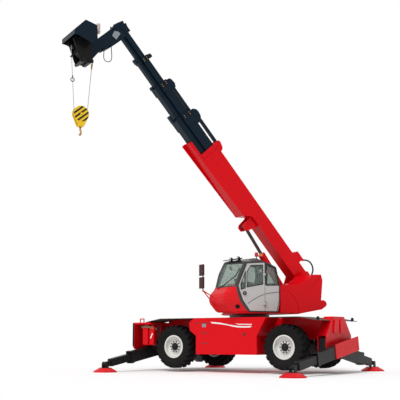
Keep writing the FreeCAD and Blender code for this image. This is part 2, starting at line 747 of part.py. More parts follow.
def leg_slide(plane, foot):
    """Inner beam with guide shoes and the foot eye."""
    length = leg_length(foot)
    h = INNER_H / 2
    w = INNER_W / 2
    start = OUTER_REACH - INNER_HELD
    beam = box(start, length - EYE_NECK, -w, w, -h, h)
    neck = box(length - EYE_NECK, length, -EYE_W / 2, EYE_W / 2, -EYE_R, EYE_R)
    eye = cyl(EYE_R, (length, -EYE_W / 2, 0), (length, EYE_W / 2, 0))
    gap_h = OUTER_H / 2 - OUTER_WALL - SEAT
    shoes = [box(start, start + 80, -w, w, -gap_h, gap_h)]
    solid = fuse([beam, neck, eye] + shoes)
    solid = solid.cut(cyl(EYE_PIN_R + PIN_GAP, (length, -w, 0), (length, w, 0)))
    return leg_frame(solid, plane, foot)


def leg_pad(plane, foot):
    """Round ground plate, coned up to a pair of lugs and their pin."""
    profile = [(0, 0), (PAD_R, 0), (PAD_R, PAD_RIM), (PAD_TOP_R, PAD_H), (0, PAD_H)]
    cone = polygon([(r, 0, z) for r, z in profile]).revolve(ORIGIN, Z_AXIS, 360)
    inner = EYE_W / 2 + 6
    lugs = [cyl(EYE_PIN_R, (-inner - LUG_T, 0, FOOT_PIN_Z), (inner + LUG_T, 0, FOOT_PIN_Z))]
    for side in (1, -1):
        x0 = side * inner
        x1 = side * (inner + LUG_T)
        lugs.append(box(x0, x1, -60, 60, PAD_H - 10, FOOT_PIN_Z))
        lugs.append(cyl(60, (x0, 0, FOOT_PIN_Z), (x1, 0, FOOT_PIN_Z)))
    well = box(-inner, inner, -90, 90, PAD_H - 12, PAD_H)
    solid = fuse([cone.cut(well)] + lugs)
    solid.translate(V(plane, foot, 0))
    return solid


# ---- Turret -----------------------------------------------------------------
def turret_frame():
    """Bed plate with the moving race, two tower plates and the cylinder foot."""
    bed = flat_plate([(BED_REAR, -1160), (100, -1160), (560, -560), (560, 300), (980, 420), (980, 1000),
                      (700, 1160), (BED_REAR, 1160)], TURRET_Z, TURRET_Z + BASE_T)
    race = ring(RACE_MID - BEARING, RACE_IN, (0, 0, DECK_Z + 20), (0, 0, TURRET_Z))
    tower = [(TOWER_FRONT, TURRET_Z + BASE_T), (BED_REAR, TURRET_Z + BASE_T), (FLOOR_REAR, FLOOR_REAR_Z),
             (FLOOR_REAR, WEIGHT_TOP), (-1770, 2500), (-1770, 2660), (-1700, 2740), (-1570, 2740),
             (-1490, 2640), (-1400, 2380), (-900, 2000), (TOWER_FRONT, 1700)]
    plates = []
    for side in (1, -1):
        plate = side_plate(tower, side * TOWER_IN, side * (TOWER_IN + TOWER_T))
        plates.append(plate)
    floor = side_plate([(BED_REAR, TURRET_Z), (FLOOR_REAR, FLOOR_REAR_Z - BASE_T),
                        (FLOOR_REAR, FLOOR_REAR_Z), (BED_REAR, TURRET_Z + BASE_T)],
                       -TOWER_IN - TOWER_T, TOWER_IN + TOWER_T)
    foot = []
    for side in (1, -1):
        y0 = side * (FOOT_EYE_HALF_W + CHEEK_GAP)
        y1 = side * (FOOT_EYE_HALF_W + CHEEK_GAP + 40)
        ear = side_plate([(FOOT_X + x, z) for x, z in FOOT_EAR], y0, y1)
        foot.append(ear)
    pins = [cyl(PIVOT_PIN_R, (PIVOT_X, -TOWER_IN - TOWER_T - 25, PIVOT_Z),
                (PIVOT_X, TOWER_IN + TOWER_T + 25, PIVOT_Z)),
            cyl(BOOM_PIN_R, (FOOT_X, -FOOT_EYE_HALF_W - 60, FOOT_Z), (FOOT_X, FOOT_EYE_HALF_W + 60, FOOT_Z))]
    return on_turret(fuse([bed, race, floor] + plates + foot + pins))


def counterweight():
    """Cast tail weight with a slot for the towers and the lift cylinder."""
    outline = [(BED_REAR, 1530), (-1550, 1655), (-1690, 1740), (-1720, 1800), (-1690, 1860),
               (-1630, WEIGHT_TOP), (BED_REAR, WEIGHT_TOP)]
    solid = side_plate(outline, -TURRET_HALF_W, TURRET_HALF_W)
    half = TOWER_IN + TOWER_T + SEAT
    slot = box(FLOOR_REAR - SEAT, BED_REAR + 1, -half, half, TURRET_Z, WEIGHT_TOP)
    return on_turret(solid.cut(slot))


def cover_arc():
    """Quarter round groove in the cover's outer face, behind the cab."""
    x, z = ARC_CENTRE
    y0 = TURRET_HALF_W - ARC_DEPTH
    y1 = TURRET_HALF_W + 1
    whole = ring(ARC_R, ARC_R - ARC_WIDTH, (x, y0, z), (x, y1, z))
    return whole.common(box(x - ARC_R, ARC_FRONT, y0, y1, ARC_LOW, z + ARC_R))


def side_cover():
    """Left rear bodywork behind the cab."""
    outline = [(-205, TURRET_Z + BASE_T), (BED_REAR, TURRET_Z + BASE_T), (BED_REAR, WEIGHT_TOP),
               (-1530, WEIGHT_TOP),
               (-1590, 2440), (-1540, 2590), (-1280, 2580), (-1050, 2400), (-800, 2300), (-205, 2270)]
    solid = hollow_side(outline, COVER_IN, TURRET_HALF_W, COVER_WALL)
    recess = side_plate(COVER_RECESS, TURRET_HALF_W - RECESS_DEPTH, TURRET_HALF_W + 1)
    return on_turret(solid.cut(recess).cut(cover_arc()))


def hood_outline(low):
    """Side outline of the lid over the engine."""
    return [(HOOD_FRONT, low), (-1545, low), (-1590, 2330), (-1520, HOOD_TOP), (-60, HOOD_TOP),
            (HOOD_FRONT, 2260)]


def engine_bay():
    """Open tub on the right side with the inner wall that the lid hinges on."""
    bed = TURRET_Z + BASE_T
    outline = [(HOOD_FRONT, bed), (BED_REAR, bed), (BED_REAR, WEIGHT_TOP), (-1530, WEIGHT_TOP),
               (-1540, HOOD_LINE), (HOOD_FRONT, HOOD_LINE)]
    t = COVER_WALL
    solid = side_plate(outline, -COVER_IN, -TURRET_HALF_W)
    room = box(BED_REAR + t, HOOD_FRONT - t, -COVER_IN - t, t - TURRET_HALF_W, bed + t, HOOD_LINE)
    shelf = box(-1500, BED_REAR + t, -COVER_IN - t, t - TURRET_HALF_W, WEIGHT_TOP + t, HOOD_LINE)
    wall = side_plate(hood_outline(HOOD_LINE), -COVER_IN, -COVER_IN - t)
    lugs = []
    for x in HOOD_HINGES:
        lugs.append(box(x, x + 60, -COVER_IN - t, -COVER_IN, HOOD_TOP, HOOD_HINGE_Z))
        lugs.append(cyl(HINGE_R, (x, HOOD_HINGE_Y, HOOD_HINGE_Z), (x + 60, HOOD_HINGE_Y, HOOD_HINGE_Z)))
        lugs.append(cyl(HINGE_PIN_R, (x, HOOD_HINGE_Y, HOOD_HINGE_Z), (x + 130, HOOD_HINGE_Y, HOOD_HINGE_Z)))
    return on_turret(fuse([solid.cut(room).cut(shelf), wall] + lugs))


def engine():
    """Engine as one block, on the floor of its bay."""
    low = TURRET_Z + BASE_T + COVER_WALL
    x0, x1 = ENGINE_X
    return on_turret(box(x0, x1, -ENGINE_IN, ENGINE_ROOM - TURRET_HALF_W, low, low + ENGINE_H))


def engine_hood():
    """Lid over the engine bay, hinged along its inner top edge."""
    inner = COVER_IN + COVER_WALL + LID_GAP
    wall = LID_WALL
    low = HOOD_LINE + LID_GAP
    outline = hood_outline(low)
    room = [(x, z if z > low + 1 else low - 2 * wall) for x, z in outline]
    shell = side_plate(outline, -inner, -TURRET_HALF_W)
    shell = shell.cut(side_plate(inset(room, wall), -inner, wall - TURRET_HALF_W))
    barrels = []
    for x in HOOD_HINGES:
        x0 = x + 60 + SEAT
        barrels.append(box(x0, x0 + 60, -inner - 30, HOOD_HINGE_Y, HOOD_TOP, HOOD_HINGE_Z))
        barrels.append(cyl(HINGE_R, (x0, HOOD_HINGE_Y, HOOD_HINGE_Z), (x0 + 60, HOOD_HINGE_Y, HOOD_HINGE_Z)))
    solid = fuse([shell] + barrels)
    for x in HOOD_HINGES:
        solid = solid.cut(cyl(HINGE_PIN_R + PIN_GAP, (x, HOOD_HINGE_Y, HOOD_HINGE_Z),
                              (x + 200, HOOD_HINGE_Y, HOOD_HINGE_Z)))
    return on_turret(solid)


# ---- Cab --------------------------------------------------------------------

def softened(outline):
    """Outline with each corner cut back by the same length along both of its edges."""
    points = []
    for i, corner in enumerate(outline):
        for other in (outline[i - 1], outline[(i + 1) % len(outline)]):
            share = CAB_SOFTEN / math.dist(corner, other)
            points.append(tuple(c + share * (o - c) for c, o in zip(corner, other)))
    return points


def cab_form(depth):
    """Cab body moved inwards by depth all over."""
    bend = [tuple(n + CAB_SWELL * (m - n) for n, m in zip(a, b)) for a, b in zip(NEAR, NOSE)]
    wires = []
    for outline, y in ((NOSE, CAB_IN + depth), (bend, CAB_BEND), (NEAR, CAB_OUT - depth)):
        corners = [V(x, y, z) for x, z in inset(softened(outline), depth)]
        wires.append(Part.makePolygon(corners + corners[:1]))
    return Part.makeLoft(wires, True, True)


def screen_prism(shrink):
    """Prism through the windscreen, which narrows towards the near side."""
    wires = []
    for outline, y in zip((SCREEN_FAR, SCREEN_NEAR), (SCREEN_Y[0] + shrink, SCREEN_Y[1] - shrink)):
        corners = [V(x, y, z) for x, z in inset(outline, shrink)]
        wires.append(Part.makePolygon(corners + corners[:1]))
    return Part.makeLoft(wires, True, True)


def window_cutters(shrink):
    """Prisms through each window, smaller by shrink all round."""
    near = CAB_OUT - CAB_WALL - 40
    prisms = {}
    prisms["quarter"] = side_plate(inset(QUARTER_WINDOW, shrink), near, CAB_OUT + 20)
    prisms["screen"] = screen_prism(shrink)
    prisms["roof"] = side_plate(inset(ROOF_WINDOW, shrink), CAB_IN + 110 + shrink, CAB_OUT - 120 - shrink)
    prisms["back"] = side_plate(inset(BACK_WINDOW, shrink), CAB_IN + 90 + shrink, CAB_OUT - 110 - shrink)
    prisms["inner"] = side_plate(inset(INNER_WINDOW, shrink), CAB_IN - 20, CAB_IN + CAB_WALL + 40)
    return prisms


def nose_vent():
    """Round recess of the air vent low on the cab's nose."""
    centre = V(*NOSE_VENT)
    facing = V(*NOSE_VENT_FACING)
    return cyl(NOSE_VENT_R, centre - facing * NOSE_VENT_DEPTH, centre + facing * NOSE_VENT_R)


def cab_wall():
    """Whole cab wall, before the windows and the door are cut."""
    return cab_form(0).cut(cab_form(CAB_WALL))


def door_prism(grow):
    """Prism through the door, larger by grow."""
    return side_plate(inset(DOOR_OUTLINE, -grow), CAB_OUT - CAB_WALL - 1, CAB_OUT + 20)


def door_pivot(radius, low, high):
    """Upright cylinder on the door's hinge line."""
    return cyl(radius, (DOOR_HINGE_X, DOOR_HINGE_Y, low), (DOOR_HINGE_X, DOOR_HINGE_Y, high))


def cab_shell():
    """Cab frame with its windows and doorway cut."""
    solid = cab_wall().cut(door_prism(DOOR_GAP)).cut(nose_vent())
    for prism in window_cutters(0).values():
        solid = solid.cut(prism)
    lugs = []
    for z in DOOR_HINGES:
        for z0 in (z - 24 - SEAT, z + 60 + SEAT):
            lugs.append(box(DOOR_HINGE_X - 46, DOOR_HINGE_X, CAB_OUT, DOOR_HINGE_Y + HINGE_R, z0, z0 + 24))
            lugs.append(door_pivot(HINGE_R, z0, z0 + 24))
        lugs.append(door_pivot(HINGE_PIN_R, z - 24, z + 84))
    return on_turret(fuse([solid] + lugs))


def pane_layer():
    """Thin layer of the cab's form that the fixed panes are cut from."""
    return cab_form(GLASS_SET).cut(cab_form(GLASS_SET + GLASS_T))


def cab_glass():
    """Fixed panes, each in its own opening."""
    layer = pane_layer()
    panes = [layer.common(prism) for prism in window_cutters(SEAT).values()]
    return on_turret(group(panes))


def door_windows(shrink):
    """Prisms through the door's main window and the narrow one ahead of it."""
    y = CAB_OUT - GLASS_SET - GLASS_T
    windows = (DOOR_WINDOW, DOOR_VENT)
    return [side_plate(inset(outline, shrink), y - CAB_WALL, CAB_OUT + 20) for outline in windows]


def door_panel():
    """Cab door with its window cut, as thick as the cab wall."""
    door = cab_wall().common(door_prism(0)).cut(group(door_windows(0)))
    hinges = []
    for z in DOOR_HINGES:
        hinges.append(box(DOOR_HINGE_X, DOOR_REAR + 60, CAB_OUT, DOOR_HINGE_Y + HINGE_R, z, z + 60))
        hinges.append(door_pivot(HINGE_R, z, z + 60))
    knob = cyl(DOOR_KNOB_R, (DOOR_KNOB_X, CAB_OUT, DOOR_KNOB_Z),
               (DOOR_KNOB_X, CAB_OUT + DOOR_KNOB_T, DOOR_KNOB_Z))
    solid = fuse([door] + hinges + [knob])
    for z in DOOR_HINGES:
        solid = solid.cut(door_pivot(HINGE_PIN_R + PIN_GAP, z - 30, z + 90))
    return on_turret(solid)


def door_glass():
    """Panes in the cab door."""
    y = CAB_OUT - GLASS_SET
    panes = [side_plate(inset(outline, SEAT), y - GLASS_T, y) for outline in (DOOR_WINDOW, DOOR_VENT)]
    return on_turret(group(panes))


def cab_interior():
    """Seat, console and steering column on the cab floor."""
    floor = 1550 + CAB_WALL
    base = box(150, 560, 600, 1000, floor, floor + 320)
    cushion = box(130, 620, 560, 1040, floor + 320, floor + 440)
    back = side_plate([(130, floor + 440), (250, floor + 440), (150, floor + 1020), (50, floor + 1000)],
                      580, 1020)
    console = side_plate([(880, floor), (1060, floor), (1060, floor + 500), (1020, floor + 620),
                          (900, floor + 560)], 620, 860)
    column = cyl(30, (940, 800, floor + 550), (800, 800, floor + 700))
    wheel = cyl(185, (800, 800, floor + 700), (790, 800, floor + 711))
    return on_turret(fuse([base, cushion, back]).fuse(fuse([console, column, wheel])))


def mirrors():
    """Two stacked mirrors on an arm from the cab's nose."""
    y = MIRROR_Y
    arm = [cyl(14, (1360, y, 1925), (1700, y, 2110)), cyl(14, (1300, y, 1680), (1700, y, 2110)),
           cyl(16, (1700, y, 2080), (1700, y, 2790))]
    heads = [box(1718, 1765, y - 90, y + 110, low, low + 290) for low in (2160, 2490)]
    studs = [box(1700, 1720, y - 15, y + 15, z, z + 20) for z in (2300, 2640)]
    return on_turret(fuse(arm + heads + studs).cut(cab_form(-SEAT)))


def beacon(x, radius, low, high):
    """Lamp on a stem that rises from inside the roof."""
    foot = low - BEACON_STEM
    stem = cyl(BEACON_STEM_R, (x, BEACON_Y, foot), (x, BEACON_Y, low))
    return [stem, cyl(radius, (x, BEACON_Y, low), (x, BEACON_Y, high))]


def roof_lamps():
    """Visor rail with two work lamps, a beacon and a small warning lamp on their stems."""
    x = VISOR_X
    posts = [cyl(BEACON_STEM_R, (x, y, VISOR_Z - 90), (x, y, VISOR_Z)) for y in (560, 1000)]
    rail = box(x - VISOR_R, x + VISOR_R, 500, 1080, VISOR_Z - VISOR_R, VISOR_Z + VISOR_R)
    lamps = [cyl(WORK_LAMP_R, (x + VISOR_R, y, VISOR_Z), (x + VISOR_R + 61, y, VISOR_Z)) for y in (600, 960)]
    warning = beacon(WARNING_X, WARNING_R, 3050, 3120)
    groups = [posts + [rail] + lamps, beacon(BEACON_X, BEACON_R, 3040, 3140), warning]
    roof = cab_form(-SEAT)
    return on_turret(group(fuse(pieces).cut(roof, CUT_SLACK) for pieces in groups))


# ---- Boom -------------------------------------------------------------------
def wear_pads(half_in, top_in, low_in, mouth, inner):
    """Slide pads inside a tube's mouth, set against the tube that runs in it."""
    u0 = mouth - PAD_BACK
    u1 = u0 + PAD_LENGTH
    top = inner["top"]
    low = inner["low"]
    hw = inner["half_w"]
    pads = [box(u0, u1, -0.6 * hw, 0.6 * hw, top + SEAT, top_in)]
    for side in (1, -1):
        pads.append(box(u0, u1, side * (inner["keel_w"] + PAD_EDGE), side * half_in, low_in, low - SEAT))
        pads.append(box(u0, u1, side * (hw + SEAT), side * half_in, 0.6 * low, 0.3 * top))
    return pads


def hose_guide(outline):
    """Pair of rounded cheeks that the hose rail of the next tube runs between."""
    cheeks = []
    for side in (1, -1):
        cheeks.append(side_plate(outline, side * GUIDE_IN, side * (GUIDE_IN + GUIDE_T)))
    return cheeks


def hose_rail(s):
    """Rail above a tube's back, carried by a cross block on its own guide."""
    start, end, low, top = s["rail"]
    guide_start = s["guide"][0][0]
    reach = GUIDE_IN + GUIDE_T
    return [box(start, end, -RAIL_TOP_HALF_W, RAIL_TOP_HALF_W, low, top),
            box(guide_start, end, -reach, reach, low, s["guide"][1][1])]


def collar_lip(s):
    """Wear lip under the collar's front edge."""
    start, end, low = s["lip"]
    top = s["keel_low"] - COLLAR_GROW
    outline = [(start, top), (end, top), (end, low + 12), (end - 20, low), (start, low)]
    return side_plate(outline, -LIP_HALF_W, LIP_HALF_W)


def foot_hose_seats():
    """Gland on the tail box and bracket behind the tail, for the hose that arches over the boom's foot."""
    y = FOOT_HOSE_Y
    (u0, w0), (u1, w1) = FOOT_HOSE[:2]
    mouth = V(u0, y, w0)
    inward = (V(u0, y, w0) - V(u1, y, w1)).normalize()
    gland = cyl(FOOT_HOSE_R + GLAND_GROW, tuple(mouth + inward * FOOT_GLAND), tuple(mouth))
    end_u, end_w = FOOT_HOSE[-1]
    reach = FOOT_HOSE_R + GLAND_GROW
    bracket = box(end_u - reach, BASE_TAIL, y - reach, y + reach, end_w - BRACKET_DEPTH, end_w)
    return [gland, bracket]


def foot_hose():
    """Hose that arches over the boom's foot."""
    return on_boom(hose("foot_hose", [(u, FOOT_HOSE_Y, w) for u, w in FOOT_HOSE], FOOT_HOSE_R))


def boom_base():
    """Base tube with a deep belly at its front, hollow for the sliding tubes."""
    u0 = BASE_TAIL
    hw = BASE_HALF_W
    t = BASE_WALL
    outline = [(u0, BASE_LO), (BELLY_START - BELLY_RAMP, BASE_LO), (BELLY_START, LIP_LO), (CHIN_U, LIP_END),
               (CHIN_U, BELLY_LO), (BASE_END, BELLY_LO), (BASE_END, BASE_TOP), (u0, BASE_TOP)]
    outer = side_plate(outline, -hw, hw)
    room = fuse([box(BOOM_ROOM, BASE_END, t - hw, hw - t, BASE_LO + t, BASE_TOP - t),
                 box(BELLY_START + t, BASE_END, t - hw, hw - t, BELLY_LO, BASE_LO + t)])
    groove = side_plate([(BELLY_START + 200, BELLY_LO - BELLY_T), (BELLY_START + 200, LIP_END - 20),
                         (CHIN_U, LIP_END - 20), (CHIN_U, BELLY_LO - BELLY_T)], LIP_T - hw, hw - LIP_T)
    tube = outer.cut(room).cut(groove)
    added = [side_plate([(u, BASE_TOP + rise) for u, rise in TAIL_BOX], -TAIL_BOX_HALF_W, TAIL_BOX_HALF_W)]
    added += hose_guide(BASE_GUIDE) + foot_hose_seats()
    for side in (1, -1):
        added.append(box(BASE_END - MOUTH_L, BASE_END, side * GUIDE_IN, side * hw,
                         BASE_TOP, BASE_TOP + MOUTH_RISE))
        added.append(box(BASE_END - MOUTH_L, BASE_END, side * hw, side * (hw + MOUTH_T), BELLY_LO, BASE_TOP))
        added.append(cyl(90, (0, side * hw, 0), (0, side * (TOWER_IN - 6), 0)))
        ear = [(BRACKET_U - 210, BASE_LO), (BRACKET_U - 110, BRACKET_W - 60),
               (BRACKET_U - 60, BRACKET_W - 130), (BRACKET_U + 60, BRACKET_W - 130),
               (BRACKET_U + 110, BRACKET_W - 60), (BRACKET_U + 130, BASE_LO)]
        added.append(side_plate(ear, side * BRACKET_IN, side * (BRACKET_IN + BRACKET_T)))
    added += wear_pads(hw - t, BASE_TOP - t, BASE_LO - t, BASE_END, SECTIONS[2])
    solid = fuse([tube] + added)
    return on_boom(solid.cut(cyl(PIVOT_PIN_R + PIN_GAP, (0, -400, 0), (0, 400, 0))))


def tube_section(s):
    """Hollow sliding tube with its keel and, ahead of it, its collar."""
    t = s["wall"]
    tail, end = s["tail"], s["end"]
    keel_start = end - s["keel_len"]
    outer = fuse([box(tail, end, -s["half_w"], s["half_w"], s["low"], s["top"]),
                  box(keel_start, end, -s["keel_w"], s["keel_w"], s["keel_low"], s["low"])])
    room = fuse([box(tail, end, t - s["half_w"], s["half_w"] - t, s["low"] + t, s["top"] - t),
                 box(keel_start + t, end, t - s["keel_w"], s["keel_w"] - t, s["keel_low"] + t,
                     s["low"] + t)])
    return outer.cut(room)


def section_collar(s):
    """Thick frame round the open end of a tube."""
    c, end = s["collar"], s["end"]
    grow = COLLAR_GROW
    frame = fuse([box(c, end, -s["half_w"] - grow, s["half_w"] + grow, s["low"] - grow, s["top"] + grow),
                  box(c, end, -s["keel_w"] - grow, s["keel_w"] + grow, s["keel_low"] - grow, s["low"])])
    core = fuse([box(c, end, -s["half_w"], s["half_w"], s["low"], s["top"]),
                 box(c, end, -s["keel_w"], s["keel_w"], s["keel_low"], s["low"])])
    return frame.cut(core)


def boom_section(number):
    """Sliding tube 2, 3 or 4."""
    s = SECTIONS[number]
    t = s["wall"]
    pads = wear_pads(s["half_w"] - t, s["top"] - t, s["low"] + t, s["end"], SECTIONS[number + 1])
    fittings = hose_guide(s["guide"]) + [collar_lip(s)]
    if s["rail"]:
        fittings += hose_rail(s)
    return on_boom(fuse([tube_section(s), section_collar(s)] + pads + fittings))


def neck():
    """Bent head that carries the winch, in the turret frame."""
    plate = side_plate(NECK_TOP + NECK_LOW, -NECK_HALF_W, NECK_HALF_W)
    x, z = HEAD_PIN
    boss = cyl(NECK_BOSS_R, (x, -NECK_HALF_W, z), (x, NECK_HALF_W, z))
    seats = []
    for hose_x, hose_z in (HEAD_HOSE[0], HEAD_HOSE[-1]):
        reach = HEAD_HOSE_R + GLAND_GROW
        seats.append(box(hose_x - reach, hose_x + reach, NECK_HALF_W - 10, HEAD_HOSE_Y + reach,
                         hose_z, hose_z + BRACKET_DEPTH))
    solid = fuse([plate, boss] + seats)
    return on_turret(solid.cut(cyl(HEAD_PIN_R + PIN_GAP, (x, -NECK_HALF_W, z), (x, NECK_HALF_W, z))))


def head_hose():
    """Hose that hangs in a loop under the head."""
    return on_turret(hose("head_hose", [(x, HEAD_HOSE_Y, z) for x, z in HEAD_HOSE], HEAD_HOSE_R))


def boom_tip():
    """Innermost tube with its end collar and the bent head."""
    u0, u1 = TIP_COLLAR
    low, high = TIP_COLLAR_W
    s = SECTIONS[5]
    collar = box(u0, u1, -TIP_COLLAR_HALF_W, TIP_COLLAR_HALF_W, low, high)
    core = box(u0, u1, -s["half_w"], s["half_w"], low, s["top"])
    return fuse([on_boom(tube_section(s)), on_boom(collar.cut(core)), neck()])


def lift_frame(shape):
    """Lift cylinder modelled along +X from its foot, set on the turret."""
    x, z = boom_point(BRACKET_U, BRACKET_W)
    placed = shape.copy()
    placed.rotate(ORIGIN, Y_AXIS, -math.degrees(math.atan2(z - FOOT_Z, x - FOOT_X)))
    placed.translate(V(FOOT_X, 0, FOOT_Z))
    return on_turret(placed)


def lift_length():
    """Pin to pin length of the lift cylinder at rest."""
    x, z = boom_point(BRACKET_U, BRACKET_W)
    return math.hypot(x - FOOT_X, z - FOOT_Z)


def lift_cylinder():
    """Barrel with its foot eye and gland."""
    eye = cyl(FOOT_EYE_R, (0, -FOOT_EYE_HALF_W, 0), (0, FOOT_EYE_HALF_W, 0))
    barrel = cyl(BARREL_R, (40, 0, 0), (BARREL_LEN, 0, 0))
    bore = cyl(BARREL_R - BARREL_WALL, (125, 0, 0), (BARREL_LEN - 60, 0, 0))
    gland = cyl(ROD_R + PIN_GAP, (BARREL_LEN - 60, 0, 0), (BARREL_LEN, 0, 0))
    pin = cyl(BOOM_PIN_R + PIN_GAP, (0, -100, 0), (0, 100, 0))
    return lift_frame(fuse([eye, barrel]).cut(bore).cut(gland).cut(pin))


def lift_rod():
    """Rod with its piston and the eye that reaches the boom's bracket."""
    length = lift_length()
    rod = cyl(ROD_R, (length - ROD_LEN, 0, 0), (length - 40, 0, 0))
    piston = cyl(BARREL_R - BARREL_WALL - SEAT, (length - ROD_LEN, 0, 0), (length - ROD_LEN + 50, 0, 0))
    eye = cyl(ROD_END_R, (length, -ROD_EYE_HALF_W, 0), (length, ROD_EYE_HALF_W, 0))
    hole = cyl(BOOM_PIN_R, (length, -ROD_EYE_HALF_W, 0), (length, ROD_EYE_HALF_W, 0))
    return lift_frame(fuse([rod, piston, eye]).cut(hole))


# ---- Winch head -------------------------------------------------------------
def carriage_frame():
    """Cheeks on the head pin, winch side plates and the cross bar below."""
    x, z = HEAD_PIN
    inner = NECK_HALF_W + CHEEK_GAP
    pieces = [cyl(HEAD_PIN_R, (x, -inner - CHEEK_T, z), (x, inner + CHEEK_T, z))]
    for side in (1, -1):
        cheek = [(x - 90, z - 60), (x - 60, z - 120), (4790, 7920), (4790, 8490), (4700, 8490),
                 (x - 60, z + 80), (x - 90, z + 30)]
        pieces.append(side_plate(cheek, side * inner, side * (inner + CHEEK_T)))
    pieces.append(box(4790, 4815, -WINCH_IN - WINCH_T, WINCH_IN + WINCH_T, 7900, 8490))
    outer = WINCH_IN + WINCH_T
    for side in (1, -1):
        plate = [(4815, 7830), (5110, 7830), (5150, 7900), (5230, 8120), (5330, 8380), (5300, 8500),
                 (4815, 8600)]
        pieces.append(side_plate(plate, side * WINCH_IN, side * outer))
        pieces.append(box(4850, 5200, side * outer, side * (HOOD_HALF_W - HOOD_T - SEAT), 8420, 8440))
    pieces.append(box(4815, 4960, -WINCH_IN, WINCH_IN, 7830, 7880))
    for x0 in (4830, 5020):
        pieces.append(box(x0, x0 + 90, -outer, outer, 7800, 7830))
    pieces.append(cyl(26, (LEAD_X, -WINCH_IN, LEAD_Z), (LEAD_X, WINCH_IN, LEAD_Z)))
    pieces.append(cyl(LEAD_R, (LEAD_X, -40, LEAD_Z), (LEAD_X, 40, LEAD_Z)))
    pieces.append(box(ANCHOR_X - 30, 4840, -28, 28, ANCHOR_Z, ANCHOR_Z + 90))
    return on_turret(fuse(pieces))


def winch_drum():
    """Grooved rope drum between its flanges."""
    gap = WINCH_IN - SEAT
    pieces = [cyl(DRUM_BARREL_R, (DRUM_X, -DRUM_HALF_W, DRUM_Z), (DRUM_X, DRUM_HALF_W, DRUM_Z)),
              cyl(50, (DRUM_X, -gap, DRUM_Z), (DRUM_X, gap, DRUM_Z))]
    for side in (1, -1):
        pieces.append(cyl(DRUM_FLANGE_R, (DRUM_X, side * (DRUM_HALF_W - 16), DRUM_Z),
                          (DRUM_X, side * DRUM_HALF_W, DRUM_Z)))
    return on_turret(fuse(pieces))


def winch_hood():
    """Sheet hood over the winch, open below."""
    outer = side_plate(HOOD_OUTLINE, -HOOD_HALF_W, HOOD_HALF_W)
    inner = side_plate(inset(HOOD_OUTLINE, HOOD_T), HOOD_T - HOOD_HALF_W, HOOD_HALF_W - HOOD_T)
    mouth = side_plate([(4700, 8390), (4880, 8200), (5300, 8380), (5382, 8400), (5382, 8500), (4700, 8500)],
                       HOOD_T - HOOD_HALF_W, HOOD_HALF_W - HOOD_T)
    return on_turret(outer.cut(inner).cut(mouth))


def hook_ropes():
    """Two falls of rope down to the block."""
    reach = ROPE_R + SEAT
    front = cyl(ROPE_R, (LEAD_X + LEAD_R + reach, 0, LEAD_Z), (SHEAVE_X + SHEAVE_R + reach, 0, SHEAVE_Z))
    rear = cyl(ROPE_R, (ANCHOR_X, 0, ANCHOR_Z - ROPE_TIP), (SHEAVE_X - SHEAVE_R - reach, 0, SHEAVE_Z))
    return on_turret(group([front, rear]))


def hook_block():
    """Teardrop cheeks either side of the sheave, joined at the foot."""
    cheeks = []
    for side in (1, -1):
        y0 = side * (BLOCK_HALF_T - CHEEK_PLATE)
        y1 = side * BLOCK_HALF_T
        disc = cyl(BLOCK_R, (SHEAVE_X, y0, SHEAVE_Z), (SHEAVE_X, y1, SHEAVE_Z))
        tail = side_plate([(SHEAVE_X - 184, SHEAVE_Z - 90), (SHEAVE_X + 184, SHEAVE_Z - 90),
                           (SHEAVE_X + BLOCK_FOOT, BLOCK_LOW), (SHEAVE_X - BLOCK_FOOT, BLOCK_LOW)], y0, y1)
        cheeks += [disc, tail]
    sheave = cyl(SHEAVE_R, (SHEAVE_X, -26, SHEAVE_Z), (SHEAVE_X, 26, SHEAVE_Z))
    axle_pin = cyl(30, (SHEAVE_X, -BLOCK_HALF_T - 10, SHEAVE_Z), (SHEAVE_X, BLOCK_HALF_T + 10, SHEAVE_Z))
    foot = box(SHEAVE_X - 60, SHEAVE_X + 60, -BLOCK_HALF_T, BLOCK_HALF_T, BLOCK_LOW, BLOCK_LOW + 60)
    return on_turret(fuse(cheeks + [sheave, axle_pin, foot]))


def hook():
    """Swivel shank and a round-backed hook, in the plane across the boom."""
    top = BLOCK_LOW - SEAT
    bend_r = 55
    centre = V(SHEAVE_X, 0, HOOK_TIP_Z + bend_r + HOOK_BAR_R)
    shank = cyl(HOOK_BAR_R, (SHEAVE_X, 0, top), (SHEAVE_X, 0, centre.z + bend_r + 30))
    collar = cyl(38, (SHEAVE_X, 0, top), (SHEAVE_X, 0, top - 24))
    profile = Part.Wire(Part.makeCircle(HOOK_BAR_R, centre + V(0, 0, bend_r), Y_AXIS))
    start = V(SHEAVE_X, 0, centre.z + bend_r)
    bend = Part.Face(profile).revolve(V(centre.x, centre.y, centre.z), X_AXIS, -250)
    joint = cyl(HOOK_BAR_R, start, (SHEAVE_X, 0, centre.z + bend_r + 31))
    solid = fuse([shank, collar, joint, bend])
    return on_turret(solid)


